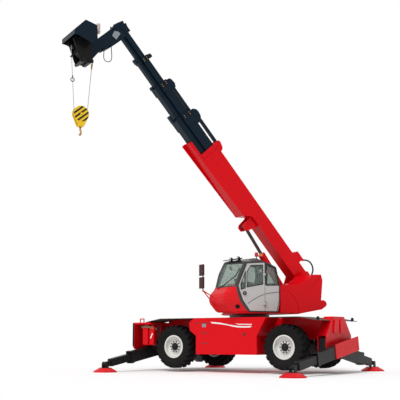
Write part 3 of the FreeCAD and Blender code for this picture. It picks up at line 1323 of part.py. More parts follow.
# ---- Build ------------------------------------------------------------------
def build_nodes():
    """Every node, by name."""
    nodes = {
        "chassis_frame": chassis_frame(),
        "mudguards": mudguards(),
        "side_box_left": side_box(1),
        "side_box_right": side_box(-1),
        "axles": axles(),
        "slew_ring": slew_ring(),
        "stabiliser_frame_front": front_frame(),
        "stabiliser_frame_rear": rear_frame(),
    }
    for name, x, side in wheel_sites():
        nodes["knuckle_" + name] = knuckle(x, side)
        nodes["tyre_" + name] = tyre(x, side)
        nodes["rim_" + name] = rim(x, side)
    for name, (plane, foot) in LEGS.items():
        nodes["leg_beam_" + name] = leg_beam(plane, foot)
        nodes["leg_slide_" + name] = leg_slide(plane, foot)
        nodes["leg_pad_" + name] = leg_pad(plane, foot)
    nodes.update({
        "turret_frame": turret_frame(),
        "counterweight": counterweight(),
        "side_cover": side_cover(),
        "engine_bay": engine_bay(),
        "engine": engine(),
        "engine_hood": engine_hood(),
        "cab_shell": cab_shell(),
        "cab_glass": cab_glass(),
        "cab_interior": cab_interior(),
        "door_panel": door_panel(),
        "door_glass": door_glass(),
        "mirrors": mirrors(),
        "roof_lamps": roof_lamps(),
        "boom_base": boom_base(),
        "boom_section_2": boom_section(2),
        "boom_section_3": boom_section(3),
        "boom_section_4": boom_section(4),
        "boom_section_5": boom_tip(),
        "foot_hose": foot_hose(),
        "head_hose": head_hose(),
        "lift_cylinder": lift_cylinder(),
        "lift_rod": lift_rod(),
        "carriage_frame": carriage_frame(),
        "winch_drum": winch_drum(),
        "winch_hood": winch_hood(),
        "hook_ropes": hook_ropes(),
        "hook_block": hook_block(),
        "hook": hook(),
    })
    return nodes


def main():
    """Write one STEP file per node."""
    os.makedirs("parts", exist_ok=True)
    for name, shape in build_nodes().items():
        if not shape.isValid():
            print("not valid:", name)
        print("%-24s solids %d  volume %.4f m3" % (name, len(shape.Solids), shape.Volume / 1e9))
        shape.exportStep("parts/" + name + ".step")


main()
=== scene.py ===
"""Finishes and small fittings of a rotating telehandler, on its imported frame.

Lengths are metres in the machine's frame: +X to the front axle, +Y to its left,
+Z up.  The axes of the turret and of the boom come from the frame's joints.
"""
from __future__ import annotations

import json
import logging
import math
from dataclasses import dataclass
from enum import Enum
from typing import Dict, Iterable, List, Sequence, Tuple

import bmesh
import bpy
from mathutils import Matrix, Vector

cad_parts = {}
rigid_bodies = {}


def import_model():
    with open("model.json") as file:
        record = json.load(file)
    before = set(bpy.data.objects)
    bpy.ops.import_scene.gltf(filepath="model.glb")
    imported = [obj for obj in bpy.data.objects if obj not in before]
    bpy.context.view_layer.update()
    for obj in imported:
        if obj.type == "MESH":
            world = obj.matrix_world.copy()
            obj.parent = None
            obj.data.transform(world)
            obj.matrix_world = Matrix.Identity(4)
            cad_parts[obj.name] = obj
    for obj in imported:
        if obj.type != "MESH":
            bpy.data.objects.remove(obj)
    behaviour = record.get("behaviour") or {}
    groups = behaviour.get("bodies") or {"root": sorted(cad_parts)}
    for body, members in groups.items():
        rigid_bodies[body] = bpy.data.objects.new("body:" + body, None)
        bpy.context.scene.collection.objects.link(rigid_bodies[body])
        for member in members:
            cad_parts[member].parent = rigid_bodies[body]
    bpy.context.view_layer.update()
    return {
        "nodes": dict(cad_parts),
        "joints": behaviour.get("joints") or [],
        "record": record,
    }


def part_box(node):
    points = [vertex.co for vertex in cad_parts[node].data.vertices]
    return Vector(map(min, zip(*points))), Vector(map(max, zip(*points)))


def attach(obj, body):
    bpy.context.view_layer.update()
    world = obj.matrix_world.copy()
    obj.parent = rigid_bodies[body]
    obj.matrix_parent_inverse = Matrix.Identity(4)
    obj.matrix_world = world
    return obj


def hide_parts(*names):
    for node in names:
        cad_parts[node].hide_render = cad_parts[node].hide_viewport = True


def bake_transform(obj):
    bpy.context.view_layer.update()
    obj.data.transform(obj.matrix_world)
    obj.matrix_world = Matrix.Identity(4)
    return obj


LOG = logging.getLogger("telehandler")
WORK_LAMPS = (0.60, 0.96)  # where they stand across the turret
ROPE_FRONT = 5.246  # the ring on the front fall, along the turret
ROPE_REAR = 4.727  # the socket of the rear fall, along the turret
DUST_TOP = 1.2  # height that no dust reaches
DUST_FULL = 0.1  # height where it lies thickest
DUST_ROUGH = 0.4  # what full dust adds to the roughness
ANYWHERE = (-19.0, 19.0)  # limits wider than the machine
SIDES = (("left", 1), ("right", -1))
Colour = Tuple[float, float, float]
Outline = Sequence[Tuple[float, float]]
Point = Sequence[float]
Tree = bpy.types.NodeTree
Socket = bpy.types.NodeSocket

RED: Colour = (0.66, 0.0008, 0.006)
NAVY: Colour = (0.002, 0.010, 0.020)
CHARCOAL: Colour = (0.045, 0.045, 0.044)
SILVER: Colour = (0.52, 0.51, 0.50)
CREAM: Colour = (0.74, 0.73, 0.70)
BLACK: Colour = (0.007, 0.007, 0.008)
MAROON: Colour = (0.040, 0.007, 0.010)
WHITE: Colour = (0.80, 0.80, 0.80)
DUST: Colour = (0.30, 0.26, 0.21)


# Axes of the machine's assemblies.
@dataclass(frozen=True)
class Axes:
    """A set of square axes in the machine's frame.

    Attributes:
        origin: Where the axes cross.
        along: First direction.
        across: Second direction, to the left.
        up: Third direction.
    """

    origin: Vector
    along: Vector
    across: Vector
    up: Vector

    def matrix(self) -> Matrix:
        """Matrix from these axes to the machine's frame."""
        turn = Matrix((self.along, self.across, self.up)).transposed()
        return Matrix.Translation(self.origin) @ turn.to_4x4()

    def at(self, along: float, across: float, up: float) -> Vector:
        """Point in the machine's frame.

        Args:
            along: Distance along the first direction.
            across: Distance along the second.
            up: Distance along the third.

        Returns:
            The same point in the machine's frame.
        """
        return self.matrix() @ Vector((along, across, up))


def mirrored(side: int) -> Axes:
    """The machine's axes, turned over for its right side.

    Args:
        side: 1 for the left, -1 for the right.

    Returns:
        The axes.
    """
    return Axes(Vector((0, 0, 0)), Vector((1, 0, 0)), Vector((0, side, 0)), Vector((0, 0, 1)))


def turret_and_boom(frame: dict) -> Tuple[Axes, Axes]:
    """Axes of the moving assemblies, from the boom's joints.


    Returns:
        The turret's axes, then the boom's.
    """
    joints = {j["name"]: j for j in frame["joints"]}
    up = Vector((0, 0, 1))
    across = Vector(joints["boom_lift"]["axis"])
    reach = -Vector(joints["boom_extend_2"]["axis"])
    pivot = Vector(joints["boom_lift"]["pos_m"])
    return (Axes(Vector((0, 0, 0)), across.cross(up), across, up),
            Axes(pivot, reach, across, reach.cross(across)))


# Meshes built from plain solids.
def add_object(name: str, data: bpy.types.ID) -> bpy.types.Object:
    """Puts a new object in the scene.

    Args:
        name: Name of the object.
        data: Its mesh, curve, light or camera.

    Returns:
        The object.
    """
    made = bpy.data.objects.new(name, data)
    bpy.context.scene.collection.objects.link(made)
    return made


def extruded(mesh: bmesh.types.BMesh, faces: List[bmesh.types.BMFace]) -> List[bmesh.types.BMVert]:
    """Extrudes some faces, without moving them yet.

    Args:
        mesh: Mesh that they are in.
        faces: The faces.

    Returns:
        The new corners.
    """
    made = bmesh.ops.extrude_face_region(mesh, geom=faces)
    return [item for item in made["geom"] if isinstance(item, bmesh.types.BMVert)]


class Solid:
    """One mesh being put together from plain solids in a set of axes."""

    def __init__(self, axes: Axes) -> None:
        """Starts an empty mesh.

        Args:
            axes: Axes that every point is given in.
        """
        self.axes = axes
        self.mesh = bmesh.new()

    def box(self, low: Point, high: Point, bevel: float = 0.0) -> None:
        """Adds a box.

        Args:
            low: Lowest corner.
            high: Highest corner.
            bevel: Width of its bevelled edges.
        """
        size = [max(abs(b - a), 1e-4) for a, b in zip(low, high)]
        middle = [(a + b) / 2 for a, b in zip(low, high)]
        place = Matrix.Translation(middle) @ Matrix.Diagonal((*size, 1.0))
        made = bmesh.ops.create_cube(self.mesh, size=1.0, matrix=place)
        self._soften(made["verts"], bevel)

    def rod(self, start: Point, end: Point, radius: float,
            far_radius: float | None = None, sides: int = 20, bevel: float = 0.0) -> None:
        """Adds a round bar or a cone between two points.

        Args:
            start: Centre of the first end.
            end: Centre of the far end.
            radius: Radius at the start.
            far_radius: Radius at the end, the same if not given.
            sides: Number of flat sides.
            bevel: Width of its bevelled edges.
        """
        first = Vector(start)
        run = Vector(end) - first
        turn = Vector((0, 0, 1)).rotation_difference(run.normalized()).to_matrix().to_4x4()
        place = Matrix.Translation(first + run / 2) @ turn
        made = bmesh.ops.create_cone(
            self.mesh, cap_ends=True, segments=sides, radius1=radius,
            radius2=radius if far_radius is None else far_radius, depth=run.length, matrix=place)
        self._soften(made["verts"], bevel)

    def prism(self, outline: Outline, near: float, far: float, bevel: float = 0.0) -> None:
        """Adds a plate drawn from the side, in the first and third directions.

        Args:
            outline: Corners in order.
            near: Where the plate starts across.
            far: Where it ends across.
            bevel: Width of its bevelled edges.
        """
        corners = [self.mesh.verts.new((x, near, z)) for x, z in outline]
        moved = extruded(self.mesh, [self.mesh.faces.new(corners)])
        bmesh.ops.translate(self.mesh, verts=moved, vec=(0, far - near, 0))
        self._soften(corners + moved, bevel)

    def turned(self, profile: Outline, start: Point, direction: Point, steps: int = 48) -> None:
        """Adds a closed profile turned about an axis.

        Args:
            profile: Pairs of radius and distance along the axis, as a closed run.
            start: Point on the axis.
            direction: Direction of the axis.
            steps: Number of steps round.
        """
        axis = Vector(direction).normalized()
        side = axis.orthogonal().normalized()
        base = Vector(start)
        ring = [self.mesh.verts.new(base + side * r + axis * h) for r, h in profile]
        edges = [self.mesh.edges.new((a, b)) for a, b in zip(ring, ring[1:] + ring[:1])]
        bmesh.ops.spin(self.mesh, geom=ring + edges, cent=base, axis=axis, dvec=(0, 0, 0),
                       angle=math.tau, steps=steps, use_merge=True)

    def tube(self, points: Sequence[Point], radius: float, sides: int = 8) -> None:
        """Adds a bent round bar through some points.

        Args:
            points: Corner points of the bar's middle.
            radius: Radius of the bar.
            sides: Number of flat sides.
        """
        for a, b in zip(points, points[1:]):
            self.rod(a, b, radius, sides=sides)
        for p in points[1:-1]:
            bmesh.ops.create_icosphere(self.mesh, subdivisions=2, radius=radius,
                                       matrix=Matrix.Translation(Vector(p)))

    def _soften(self, verts: Iterable[bmesh.types.BMVert], width: float) -> None:
        """Bevels every edge between some corners.

        Args:
            verts: Corners of the solid just added.
            width: Bevel width, or 0 for none.
        """
        if width <= 0:
            return
        chosen = set(verts)
        edges = [e for e in self.mesh.edges if e.verts[0] in chosen and e.verts[1] in chosen]
        bmesh.ops.bevel(self.mesh, geom=edges, offset=width, affect="EDGES", segments=2,
                        profile=0.5, material=-1)

    def piece(self, name: str, finish: "Finish", body: str = "",
              smooth: float = 35.0) -> bpy.types.Object:
        """Makes the object, in its place in the machine's frame.

        Args:
            name: Name of the piece.
            finish: What it is finished in.
            body: Body that it rides on, or nothing to leave it unattached.
            smooth: Edges flatter than this many degrees are shaded smooth.

        Returns:
            The new object.
        """
        bmesh.ops.remove_doubles(self.mesh, verts=self.mesh.verts, dist=1e-6)
        bmesh.ops.recalc_face_normals(self.mesh, faces=self.mesh.faces)
        bmesh.ops.transform(self.mesh, matrix=self.axes.matrix(), verts=self.mesh.verts)
        data = bpy.data.meshes.new(name)
        self.mesh.to_mesh(data)
        self.mesh.free()
        data.materials.append(finish.material())
        obj = add_object(name, data)
        data.shade_smooth()
        data.set_sharp_from_angle(angle=math.radians(smooth))
        if body:
            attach(obj, body)
        return obj


# Finishes and their shader nodes.
def math_node(tree: Tree, operation: str, first: object, second: object = 0.0) -> Socket:
    """Adds a math node.

    Args:
        tree: Tree that it goes in.
        operation: The node's operation.
        first: Socket or number.
        second: Socket or number.

    Returns:
        The node's result.
    """
    node = tree.nodes.new("ShaderNodeMath")
    node.operation = operation
    for socket, value in zip(node.inputs, (first, second)):
        if isinstance(value, Socket):
            tree.links.new(value, socket)
        else:
            socket.default_value = value
    return node.outputs[0]


def blend_node(tree: Tree, share: Socket, first: object, second: object) -> Socket:
    """Adds a mix of two colours.

    Args:
        tree: Tree that it goes in.
        share: Share of the second colour.
        first: Socket or colour.
        second: Socket or colour.

    Returns:
        The mixed colour.
    """
    node = tree.nodes.new("ShaderNodeMix")
    node.data_type = "RGBA"
    tree.links.new(share, node.inputs["Factor"])
    for index, value in ((6, first), (7, second)):
        if isinstance(value, Socket):
            tree.links.new(value, node.inputs[index])
        else:
            node.inputs[index].default_value = (*value, 1.0)
    return node.outputs[2]


def noise_node(tree: Tree, given: bpy.types.Node, scale: str, detail: float) -> Socket:
    """Adds noise at the group's place.

    Args:
        tree: Group that it goes in.
        given: The group's input node.
        scale: Input that sets its scale.
        detail: Its detail.

    Returns:
        The noise, round 0.5.
    """
    node = tree.nodes.new("ShaderNodeTexNoise")
    node.inputs["Detail"].default_value = detail
    tree.links.new(given.outputs["Place"], node.inputs["Vector"])
    tree.links.new(given.outputs[scale], node.inputs["Scale"])
    return node.outputs["Fac"]


def fill_wear(tree: Tree, given: bpy.types.Node, result: bpy.types.Node) -> None:
    """Soft patches in gloss and colour, a fine grain, and dust that thickens near the ground.

    Args:
        tree: Group being filled.
        given: The group's input node.
        result: The group's output node.
    """
    patches = noise_node(tree, given, "Scale", 5.0)
    wander = math_node(tree, "SUBTRACT", patches, 0.5)
    gloss = math_node(tree, "MULTIPLY", wander, given.outputs["Gloss wander"])
    darker = math_node(tree, "MULTIPLY", wander, given.outputs["Shade wander"])
    darker = math_node(tree, "MULTIPLY", math_node(tree, "ABSOLUTE", darker), 2.0)
    shaded = blend_node(tree, darker, given.outputs["Colour"], (0.0, 0.0, 0.0))
    split = tree.nodes.new("ShaderNodeSeparateXYZ")
    tree.links.new(given.outputs["Place"], split.inputs["Vector"])
    low = tree.nodes.new("ShaderNodeMapRange")
    low.inputs["From Min"].default_value = DUST_TOP
    low.inputs["From Max"].default_value = DUST_FULL
    tree.links.new(split.outputs["Z"], low.inputs["Value"])
    settled = math_node(tree, "MULTIPLY", low.outputs["Result"], patches)
    settled = math_node(tree, "MULTIPLY", settled, given.outputs["Dust"])
    tree.links.new(blend_node(tree, settled, shaded, DUST), result.inputs["Colour"])
    rough = math_node(tree, "ADD", gloss, given.outputs["Roughness"])
    rough = math_node(tree, "ADD", rough, math_node(tree, "MULTIPLY", settled, DUST_ROUGH))
    tree.links.new(rough, result.inputs["Roughness"])
    tree.links.new(noise_node(tree, given, "Grain", 3.0), result.inputs["Height"])


def wear_group() -> Tree:
    """The group of wear, grain and dust that every finish shares, built once."""
    found = bpy.data.node_groups.get("wear")
    if found:
        return found
    tree = bpy.data.node_groups.new("wear", "ShaderNodeTree")
    kinds = {"Place": "NodeSocketVector", "Colour": "NodeSocketColor"}
    for way, labels in (("INPUT", ("Place", "Colour", "Roughness", "Scale", "Gloss wander", "Shade wander",
                                   "Grain", "Dust")),
                        ("OUTPUT", ("Colour", "Roughness", "Height"))):
        for label in labels:
            kind = kinds.get(label, "NodeSocketFloat")
            tree.interface.new_socket(name=label, in_out=way, socket_type=kind)
    fill_wear(tree, tree.nodes.new("NodeGroupInput"), tree.nodes.new("NodeGroupOutput"))
    return tree


class Surface(Enum):
    """Kinds of surface, and what each sets on the shader."""

    PAINT = {"Coat Weight": 0.04, "Coat Roughness": 0.12}
    METAL = {"Metallic": 1.0, "Specular IOR Level": 0.5}
    DULL: Dict[str, float] = {}
    GLASS = {"Transmission Weight": 0.85, "IOR": 1.1}


@dataclass(frozen=True)
class Zone:
    """A part of a surface, in turret axes, that has another colour.

    Attributes:
        colour: Colour of the zone.
        along: Limits along the turret.
        across: Limits across it.
        up: Limits of height.
    """

    colour: Colour
    along: Tuple[float, float] = ANYWHERE
    across: Tuple[float, float] = ANYWHERE
    up: Tuple[float, float] = ANYWHERE


@dataclass(frozen=True)
class Finish:
    """One finish.

    Attributes:
        name: Name of the finish.
        colour: Base colour.
        surface: Kind of surface.
        roughness: Mean roughness.
        patches: How far the roughness wanders.
        scale: Size of the patches, in cycles to the metre.
        specular: How much plain light it mirrors.
        shade: How far the colour wanders.
        grain: Fineness of the surface's grain, in cycles to the metre.
        relief: Height of the grain, in metres.
        dust: How much road dust lies on it near the ground.
        zones: Parts with another colour, the last on top.
        turn: Turn of the zones' axes about Z, in radians.
    """

    name: str
    colour: Colour
    surface: Surface = Surface.PAINT
    roughness: float = 0.35
    patches: float = 0.12
    scale: float = 3.0
    specular: float = 0.22
    shade: float = 0.10
    grain: float = 160.0
    relief: float = 0.0002
    dust: float = 0.0
    zones: Tuple[Zone, ...] = ()
    turn: float = 0.0

    def material(self) -> bpy.types.Material:
        """The material, built the first time that it is asked for."""
        name = f"finish_{self.name}"
        found = bpy.data.materials.get(name)
        if found:
            return found
        made = bpy.data.materials.new(name)
        made.use_nodes = True
        tree = made.node_tree
        shader = tree.nodes["Principled BSDF"]
        shader.inputs["Base Color"].default_value = (*self.colour, 1.0)
        shader.inputs["Roughness"].default_value = self.roughness
        shader.inputs["Specular IOR Level"].default_value = self.specular
        for label, value in self.surface.value.items():
            shader.inputs[label].default_value = value
        self._wire(tree, shader)
        return made

    def _wire(self, tree: Tree, shader: bpy.types.Node) -> None:
        """Wires the wandering gloss and colour, the grain, the zones and the dust.

        Args:
            tree: The material's nodes.
            shader: Its shader.
        """
        place = tree.nodes.new("ShaderNodeTexCoord")
        wear = tree.nodes.new("ShaderNodeGroup")
        wear.node_tree = wear_group()
        tree.links.new(place.outputs["Object"], wear.inputs["Place"])
        for label, value in (("Scale", self.scale), ("Gloss wander", self.patches),
                             ("Roughness", self.roughness), ("Shade wander", self.shade),
                             ("Grain", self.grain), ("Dust", self.dust)):
            wear.inputs[label].default_value = value
        tree.links.new(wear.outputs["Roughness"], shader.inputs["Roughness"])
        if self.relief > 0:
            bump = tree.nodes.new("ShaderNodeBump")
            bump.inputs["Distance"].default_value = self.relief
            tree.links.new(wear.outputs["Height"], bump.inputs["Height"])
            tree.links.new(bump.outputs["Normal"], shader.inputs["Normal"])
        wear.inputs["Colour"].default_value = (*self.colour, 1.0)
        if self.zones:
            tree.links.new(self._zoned(tree, place), wear.inputs["Colour"])
        tree.links.new(wear.outputs["Colour"], shader.inputs["Base Color"])

    def _zoned(self, tree: Tree, place: bpy.types.Node) -> Socket:
        """Mixes each zone's colour over the base.

        Args:
            tree: The material's nodes.
            place: Its coordinates.

        Returns:
            The mixed colour.
        """
        turn = tree.nodes.new("ShaderNodeMapping")
        turn.inputs["Rotation"].default_value = (0, 0, -self.turn)
        tree.links.new(place.outputs["Object"], turn.inputs["Vector"])
        split = tree.nodes.new("ShaderNodeSeparateXYZ")
        tree.links.new(turn.outputs["Vector"], split.inputs["Vector"])
        colour = None
        for zone in self.zones:
            mask = None
            for axis, limits in zip("XYZ", (zone.along, zone.across, zone.up)):
                for operation, limit in zip(("GREATER_THAN", "LESS_THAN"), limits):
                    here = math_node(tree, operation, split.outputs[axis], limit)
                    mask = here if mask is None else math_node(tree, "MULTIPLY", mask, here)
            colour = blend_node(tree, mask, colour or self.colour, zone.colour)
        return colour


RED_PAINT = Finish("red_paint", RED, roughness=0.32, specular=0.12)
NAVY_PAINT = Finish("navy_paint", NAVY, roughness=0.34, specular=0.10)
BLACK_PAINT = Finish("black_paint", BLACK, roughness=0.42, specular=0.14, dust=0.03)
GUARD_PLASTIC = Finish("guard_plastic", (0.085, 0.07, 0.06), Surface.DULL, 0.7, grain=420, relief=0.0004)
AXLE_IRON = Finish("axle_iron", (0.022, 0.022, 0.024), Surface.DULL, 0.6, specular=0.12, dust=0.2,
                   relief=0.0005)
RING_STEEL = Finish("ring_steel", (0.07, 0.07, 0.075), Surface.METAL, 0.5)
TYRE_RUBBER = Finish("tyre_rubber", (0.0075, 0.0075, 0.008), Surface.DULL, 0.75, 0.2, 9.0, specular=0.10,
                     grain=300, relief=0.0006, dust=0.03)
RIM_PAINT = Finish("rim_paint", CREAM, roughness=0.38, dust=0.15)
HUB_PAINT = Finish("hub_paint", BLACK, roughness=0.4)
DARK_PAINT = Finish("dark_paint", (0.030, 0.030, 0.032), roughness=0.5)
TRIM_PLASTIC = Finish("trim_plastic", BLACK, Surface.DULL, 0.6, specular=0.12, grain=420, relief=0.0004)
HOSE_RUBBER = Finish("hose_rubber", (0.010, 0.010, 0.011), Surface.DULL, 0.5, grain=500, relief=0.0003)
GLASS = Finish("window_glass", (0.55, 0.62, 0.58), Surface.GLASS, 0.02, 0.02, specular=0.5, relief=0.0)
DOOR_PAINT = Finish("door_paint", SILVER, roughness=0.35)
LAMP_WHITE = Finish("lamp_white", WHITE, roughness=0.2, relief=0.0)
LAMP_RED = Finish("lamp_red", (0.55, 0.004, 0.02), roughness=0.15, specular=0.5, relief=0.0)
LAMP_AMBER = Finish("lamp_amber", (0.8, 0.22, 0.02), roughness=0.15, specular=0.5, relief=0.0)
# Flat dark brown: the real colour of the latches and the cab's curved lines, painted shade and reflection on
# the chrome lift rod, and painted shade in the side boxes' grooves.
DARK_BROWN_AND_PAINTED_SHADE = Finish("dark_brown_and_painted_shade", (0.055, 0.040, 0.036), roughness=0.4)
DRUM_STEEL = Finish("drum_steel", (0.22, 0.22, 0.22), Surface.METAL, 0.4)
ROPE_STEEL = Finish("rope_steel", (0.42, 0.40, 0.38), Surface.DULL, 0.5, grain=90, relief=0.002)
BLOCK_YELLOW = Finish("block_yellow", (0.80, 0.52, 0.02), roughness=0.35)
HOOK_GOLD = Finish("hook_gold", (0.42, 0.24, 0.04), roughness=0.4)
STRIPE_WHITE = Finish("stripe_white", WHITE, roughness=0.4)
BRASS_PAD = Finish("brass_pad", (0.45, 0.33, 0.16), Surface.DULL, 0.5)
MOTOR_PALE = Finish("motor_pale", (0.55, 0.45, 0.42), roughness=0.45)
HOSE_TAN = Finish("hose_tan", (0.32, 0.20, 0.11), Surface.DULL, 0.6, grain=240, relief=0.0006)
PLATE_GREY = Finish("plate_grey", (0.24, 0.26, 0.28), roughness=0.5)
PAD_PAINT = Finish("pad_paint", RED, roughness=0.4, specular=0.12, dust=0.04, zones=(
    Zone(BLACK, up=(0.112, 0.5)),))
LEG_PAINT = Finish("leg_paint", BLACK, roughness=0.42, specular=0.14, dust=0.03, zones=(
    Zone(RED, along=(-2.90, -2.8555)), Zone(RED, along=(3.0155, 3.05))))


def cab_finish(turn: float) -> Finish:
    """Finish of the cab's shell: red nose, charcoal frame, silver quarter.

    Args:
        turn: Turn of the turret about Z.

    Returns:
        The finish.
    """
    zones = (
        Zone(RED, up=(1.4, 2.19), across=(0.0, 1.17)),
        Zone(SILVER, along=(-0.17, 0.275), across=(1.19, 1.3), up=(1.585, 2.25)),
    )
    return Finish("cab_shell", CHARCOAL, roughness=0.4, zones=zones, turn=turn)


FINISH_OF: Dict[str, Finish] = {
    "chassis_red": RED_PAINT, "turret_red": RED_PAINT, "guard_brown": GUARD_PLASTIC,
    "axle_grey": AXLE_IRON, "ring_steel": RING_STEEL, "tyre_rubber": TYRE_RUBBER,
    "rim_silver": RIM_PAINT, "leg_black": LEG_PAINT, "leg_grey": BLACK_PAINT, "pad_red": PAD_PAINT,
    "dark_paint": DARK_PAINT, "engine_iron": AXLE_IRON, "cab_tint": GLASS, "trim_black": TRIM_PLASTIC,
    "door_silver": DOOR_PAINT, "lamp_body": TRIM_PLASTIC, "boom_navy": NAVY_PAINT,
    # The chrome lift rod is painted flat dark brown: painted shade and reflection in place of its chrome.
    "hose_rubber": HOSE_RUBBER, "barrel_paint": RED_PAINT, "rod_chrome": DARK_BROWN_AND_PAINTED_SHADE, "drum_steel": DRUM_STEEL,
    "rope_steel": ROPE_STEEL, "block_yellow": BLOCK_YELLOW, "hook_gold": HOOK_GOLD,
}


def dress_frame(frame: dict, turn: float) -> None:
    """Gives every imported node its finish.

    Args:
        turn: Turn of the turret about Z.
    """
    finishes = {**FINISH_OF, "cab_dark": cab_finish(turn)}
    special = {
        "mirrors": Finish("mirror_plastic", MAROON, Surface.DULL, 0.5, turn=turn, zones=(
            Zone(RED, along=(1.0, 1.712), up=(1.6, 2.13)),)),
        "carriage_frame": Finish("carriage_paint", NAVY, roughness=0.34, specular=0.10, turn=turn, zones=(
            Zone(BLACK, up=(7.7, 7.935)), Zone(BLACK, along=(4.82, 5.6), up=(7.7, 8.46)))),
    }
    for part in frame["record"]["subparts"]:
        node = frame["nodes"][part["node"]]
        material = special.get(part["node"], finishes[part["material_slot"]]).material()
        for holder in node.material_slots:
            holder.material = material
        if not node.material_slots:
            node.data.materials.append(material)


@dataclass
class Wheels:
    """Tyres with their tread, and the fittings on each rim.

    Attributes:
        lugs: Number of lugs round each side of a tyre.
        carcass: Radius of the tyre under its lugs.
        bead: Radius of the tyre's inner edge.
        lug_share: Share of the pitch that a lug fills.
        sweep: How far a lug leans round, in pitches.
        nuts: Number of wheel nuts.
        hub_r: Radius of the hub cover.
        nut_circle: Radius of the circle of nuts.
        hub_face: Where the rim's middle faces outboard.
    """

    lugs: int = 22
    carcass: float = 0.542
    bead: float = 0.287
    lug_share: float = 0.52
    sweep: float = 0.55
    nuts: int = 10
    hub_r: float = 0.104
    nut_circle: float = 0.134
    hub_face: float = 0.108

    def build(self) -> None:
        """Builds all four wheels."""
        for end in ("front", "rear"):
            for hand, side in SIDES:
                corner = f"{end}_{hand}"
                low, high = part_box(f"tyre_{corner}")
                middle = (low + high) / 2
                axes = Axes(middle, Vector((1, 0, 0)), Vector((0, side, 0)), Vector((0, 0, side)))
                half = (high.y - low.y) / 2
                self._tyre(corner, axes, (high.z - low.z) / 2, half)
                self._hub(corner, axes)

    def _tyre(self, corner: str, axes: Axes, radius: float, half: float) -> None:
        """One tyre: carcass and two rows of lugs.

        Args:
            corner: Which wheel.
            axes: Axes at the wheel's middle, across pointing outboard.
            radius: Radius over the lugs.
            half: Half of the tyre's width.
        """
        shape = Solid(axes)
        right = [(self.bead, 0.165), (0.325, 0.172), (0.39, half - 0.008), (0.45, half - 0.002),
                 (0.50, half - 0.008), (self.carcass - 0.02, half - 0.03), (self.carcass, half - 0.07)]
        profile = right + [(r, -h) for r, h in reversed(right)]
        shape.turned(profile, (0, 0, 0), (0, 1, 0), steps=72)
        for side in (1, -1):
            for index in range(self.lugs):
                self._lug(shape, radius, half, side, index)
        tyre = shape.piece(f"tread_{corner}", TYRE_RUBBER, f"wheel_{corner}", smooth=40)
        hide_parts(f"tyre_{corner}")

    def _lug(self, shape: Solid, radius: float, half: float, side: int, index: int) -> None:
        """One lug, from the tread's middle over the shoulder.

        Args:
            shape: Solid that it is added to.
            radius: Radius over the lugs.
            half: Half of the tyre's width.
            side: 1 outboard, -1 inboard.
            index: Which lug, counted round.
        """
        pitch = math.tau / self.lugs
        start = pitch * (index + (0.5 if side > 0 else 0.0))
        outline = [(self.carcass - 0.01, 0.01), (radius - 0.001, 0.015), (radius - 0.004, half - 0.05),
                   (radius - 0.020, half - 0.012), (0.50, half - 0.0005), (0.485, half - 0.008),
                   (self.carcass - 0.03, half - 0.045)]
        mesh = shape.mesh
        ring = [mesh.verts.new((r, side * h, 0)) for r, h in outline]
        far = extruded(mesh, [mesh.faces.new(ring)])
        width = pitch * self.lug_share
        for group, turn in ((ring, start), (far, start + width)):
            for vert in group:
                lean = self.sweep * pitch * (1 - abs(vert.co.y) / half)
                spin = Matrix.Rotation(turn + lean, 4, "Y")
                bmesh.ops.transform(mesh, matrix=spin, verts=[vert])

    def _hub(self, corner: str, axes: Axes) -> None:
        """Dark hub cover and nuts on one rim.

        Args:
            corner: Which wheel.
            axes: Axes at the wheel's middle, across pointing outboard.
        """
        face = self.hub_face
        shape = Solid(axes)
        shape.rod((0, face, 0), (0, face + 0.012, 0), self.hub_r, sides=32, bevel=0.003)
        shape.rod((0, face + 0.012, 0), (0, face + 0.03, 0), self.hub_r * 0.6, sides=24, bevel=0.003)
        for index in range(self.nuts):
            angle = math.tau * index / self.nuts
            x, z = self.nut_circle * math.cos(angle), self.nut_circle * math.sin(angle)
            shape.rod((x, face - 0.03, z), (x, face + 0.018, z), 0.017, sides=6)
        shape.piece(f"hub_{corner}", HUB_PAINT, f"wheel_{corner}")


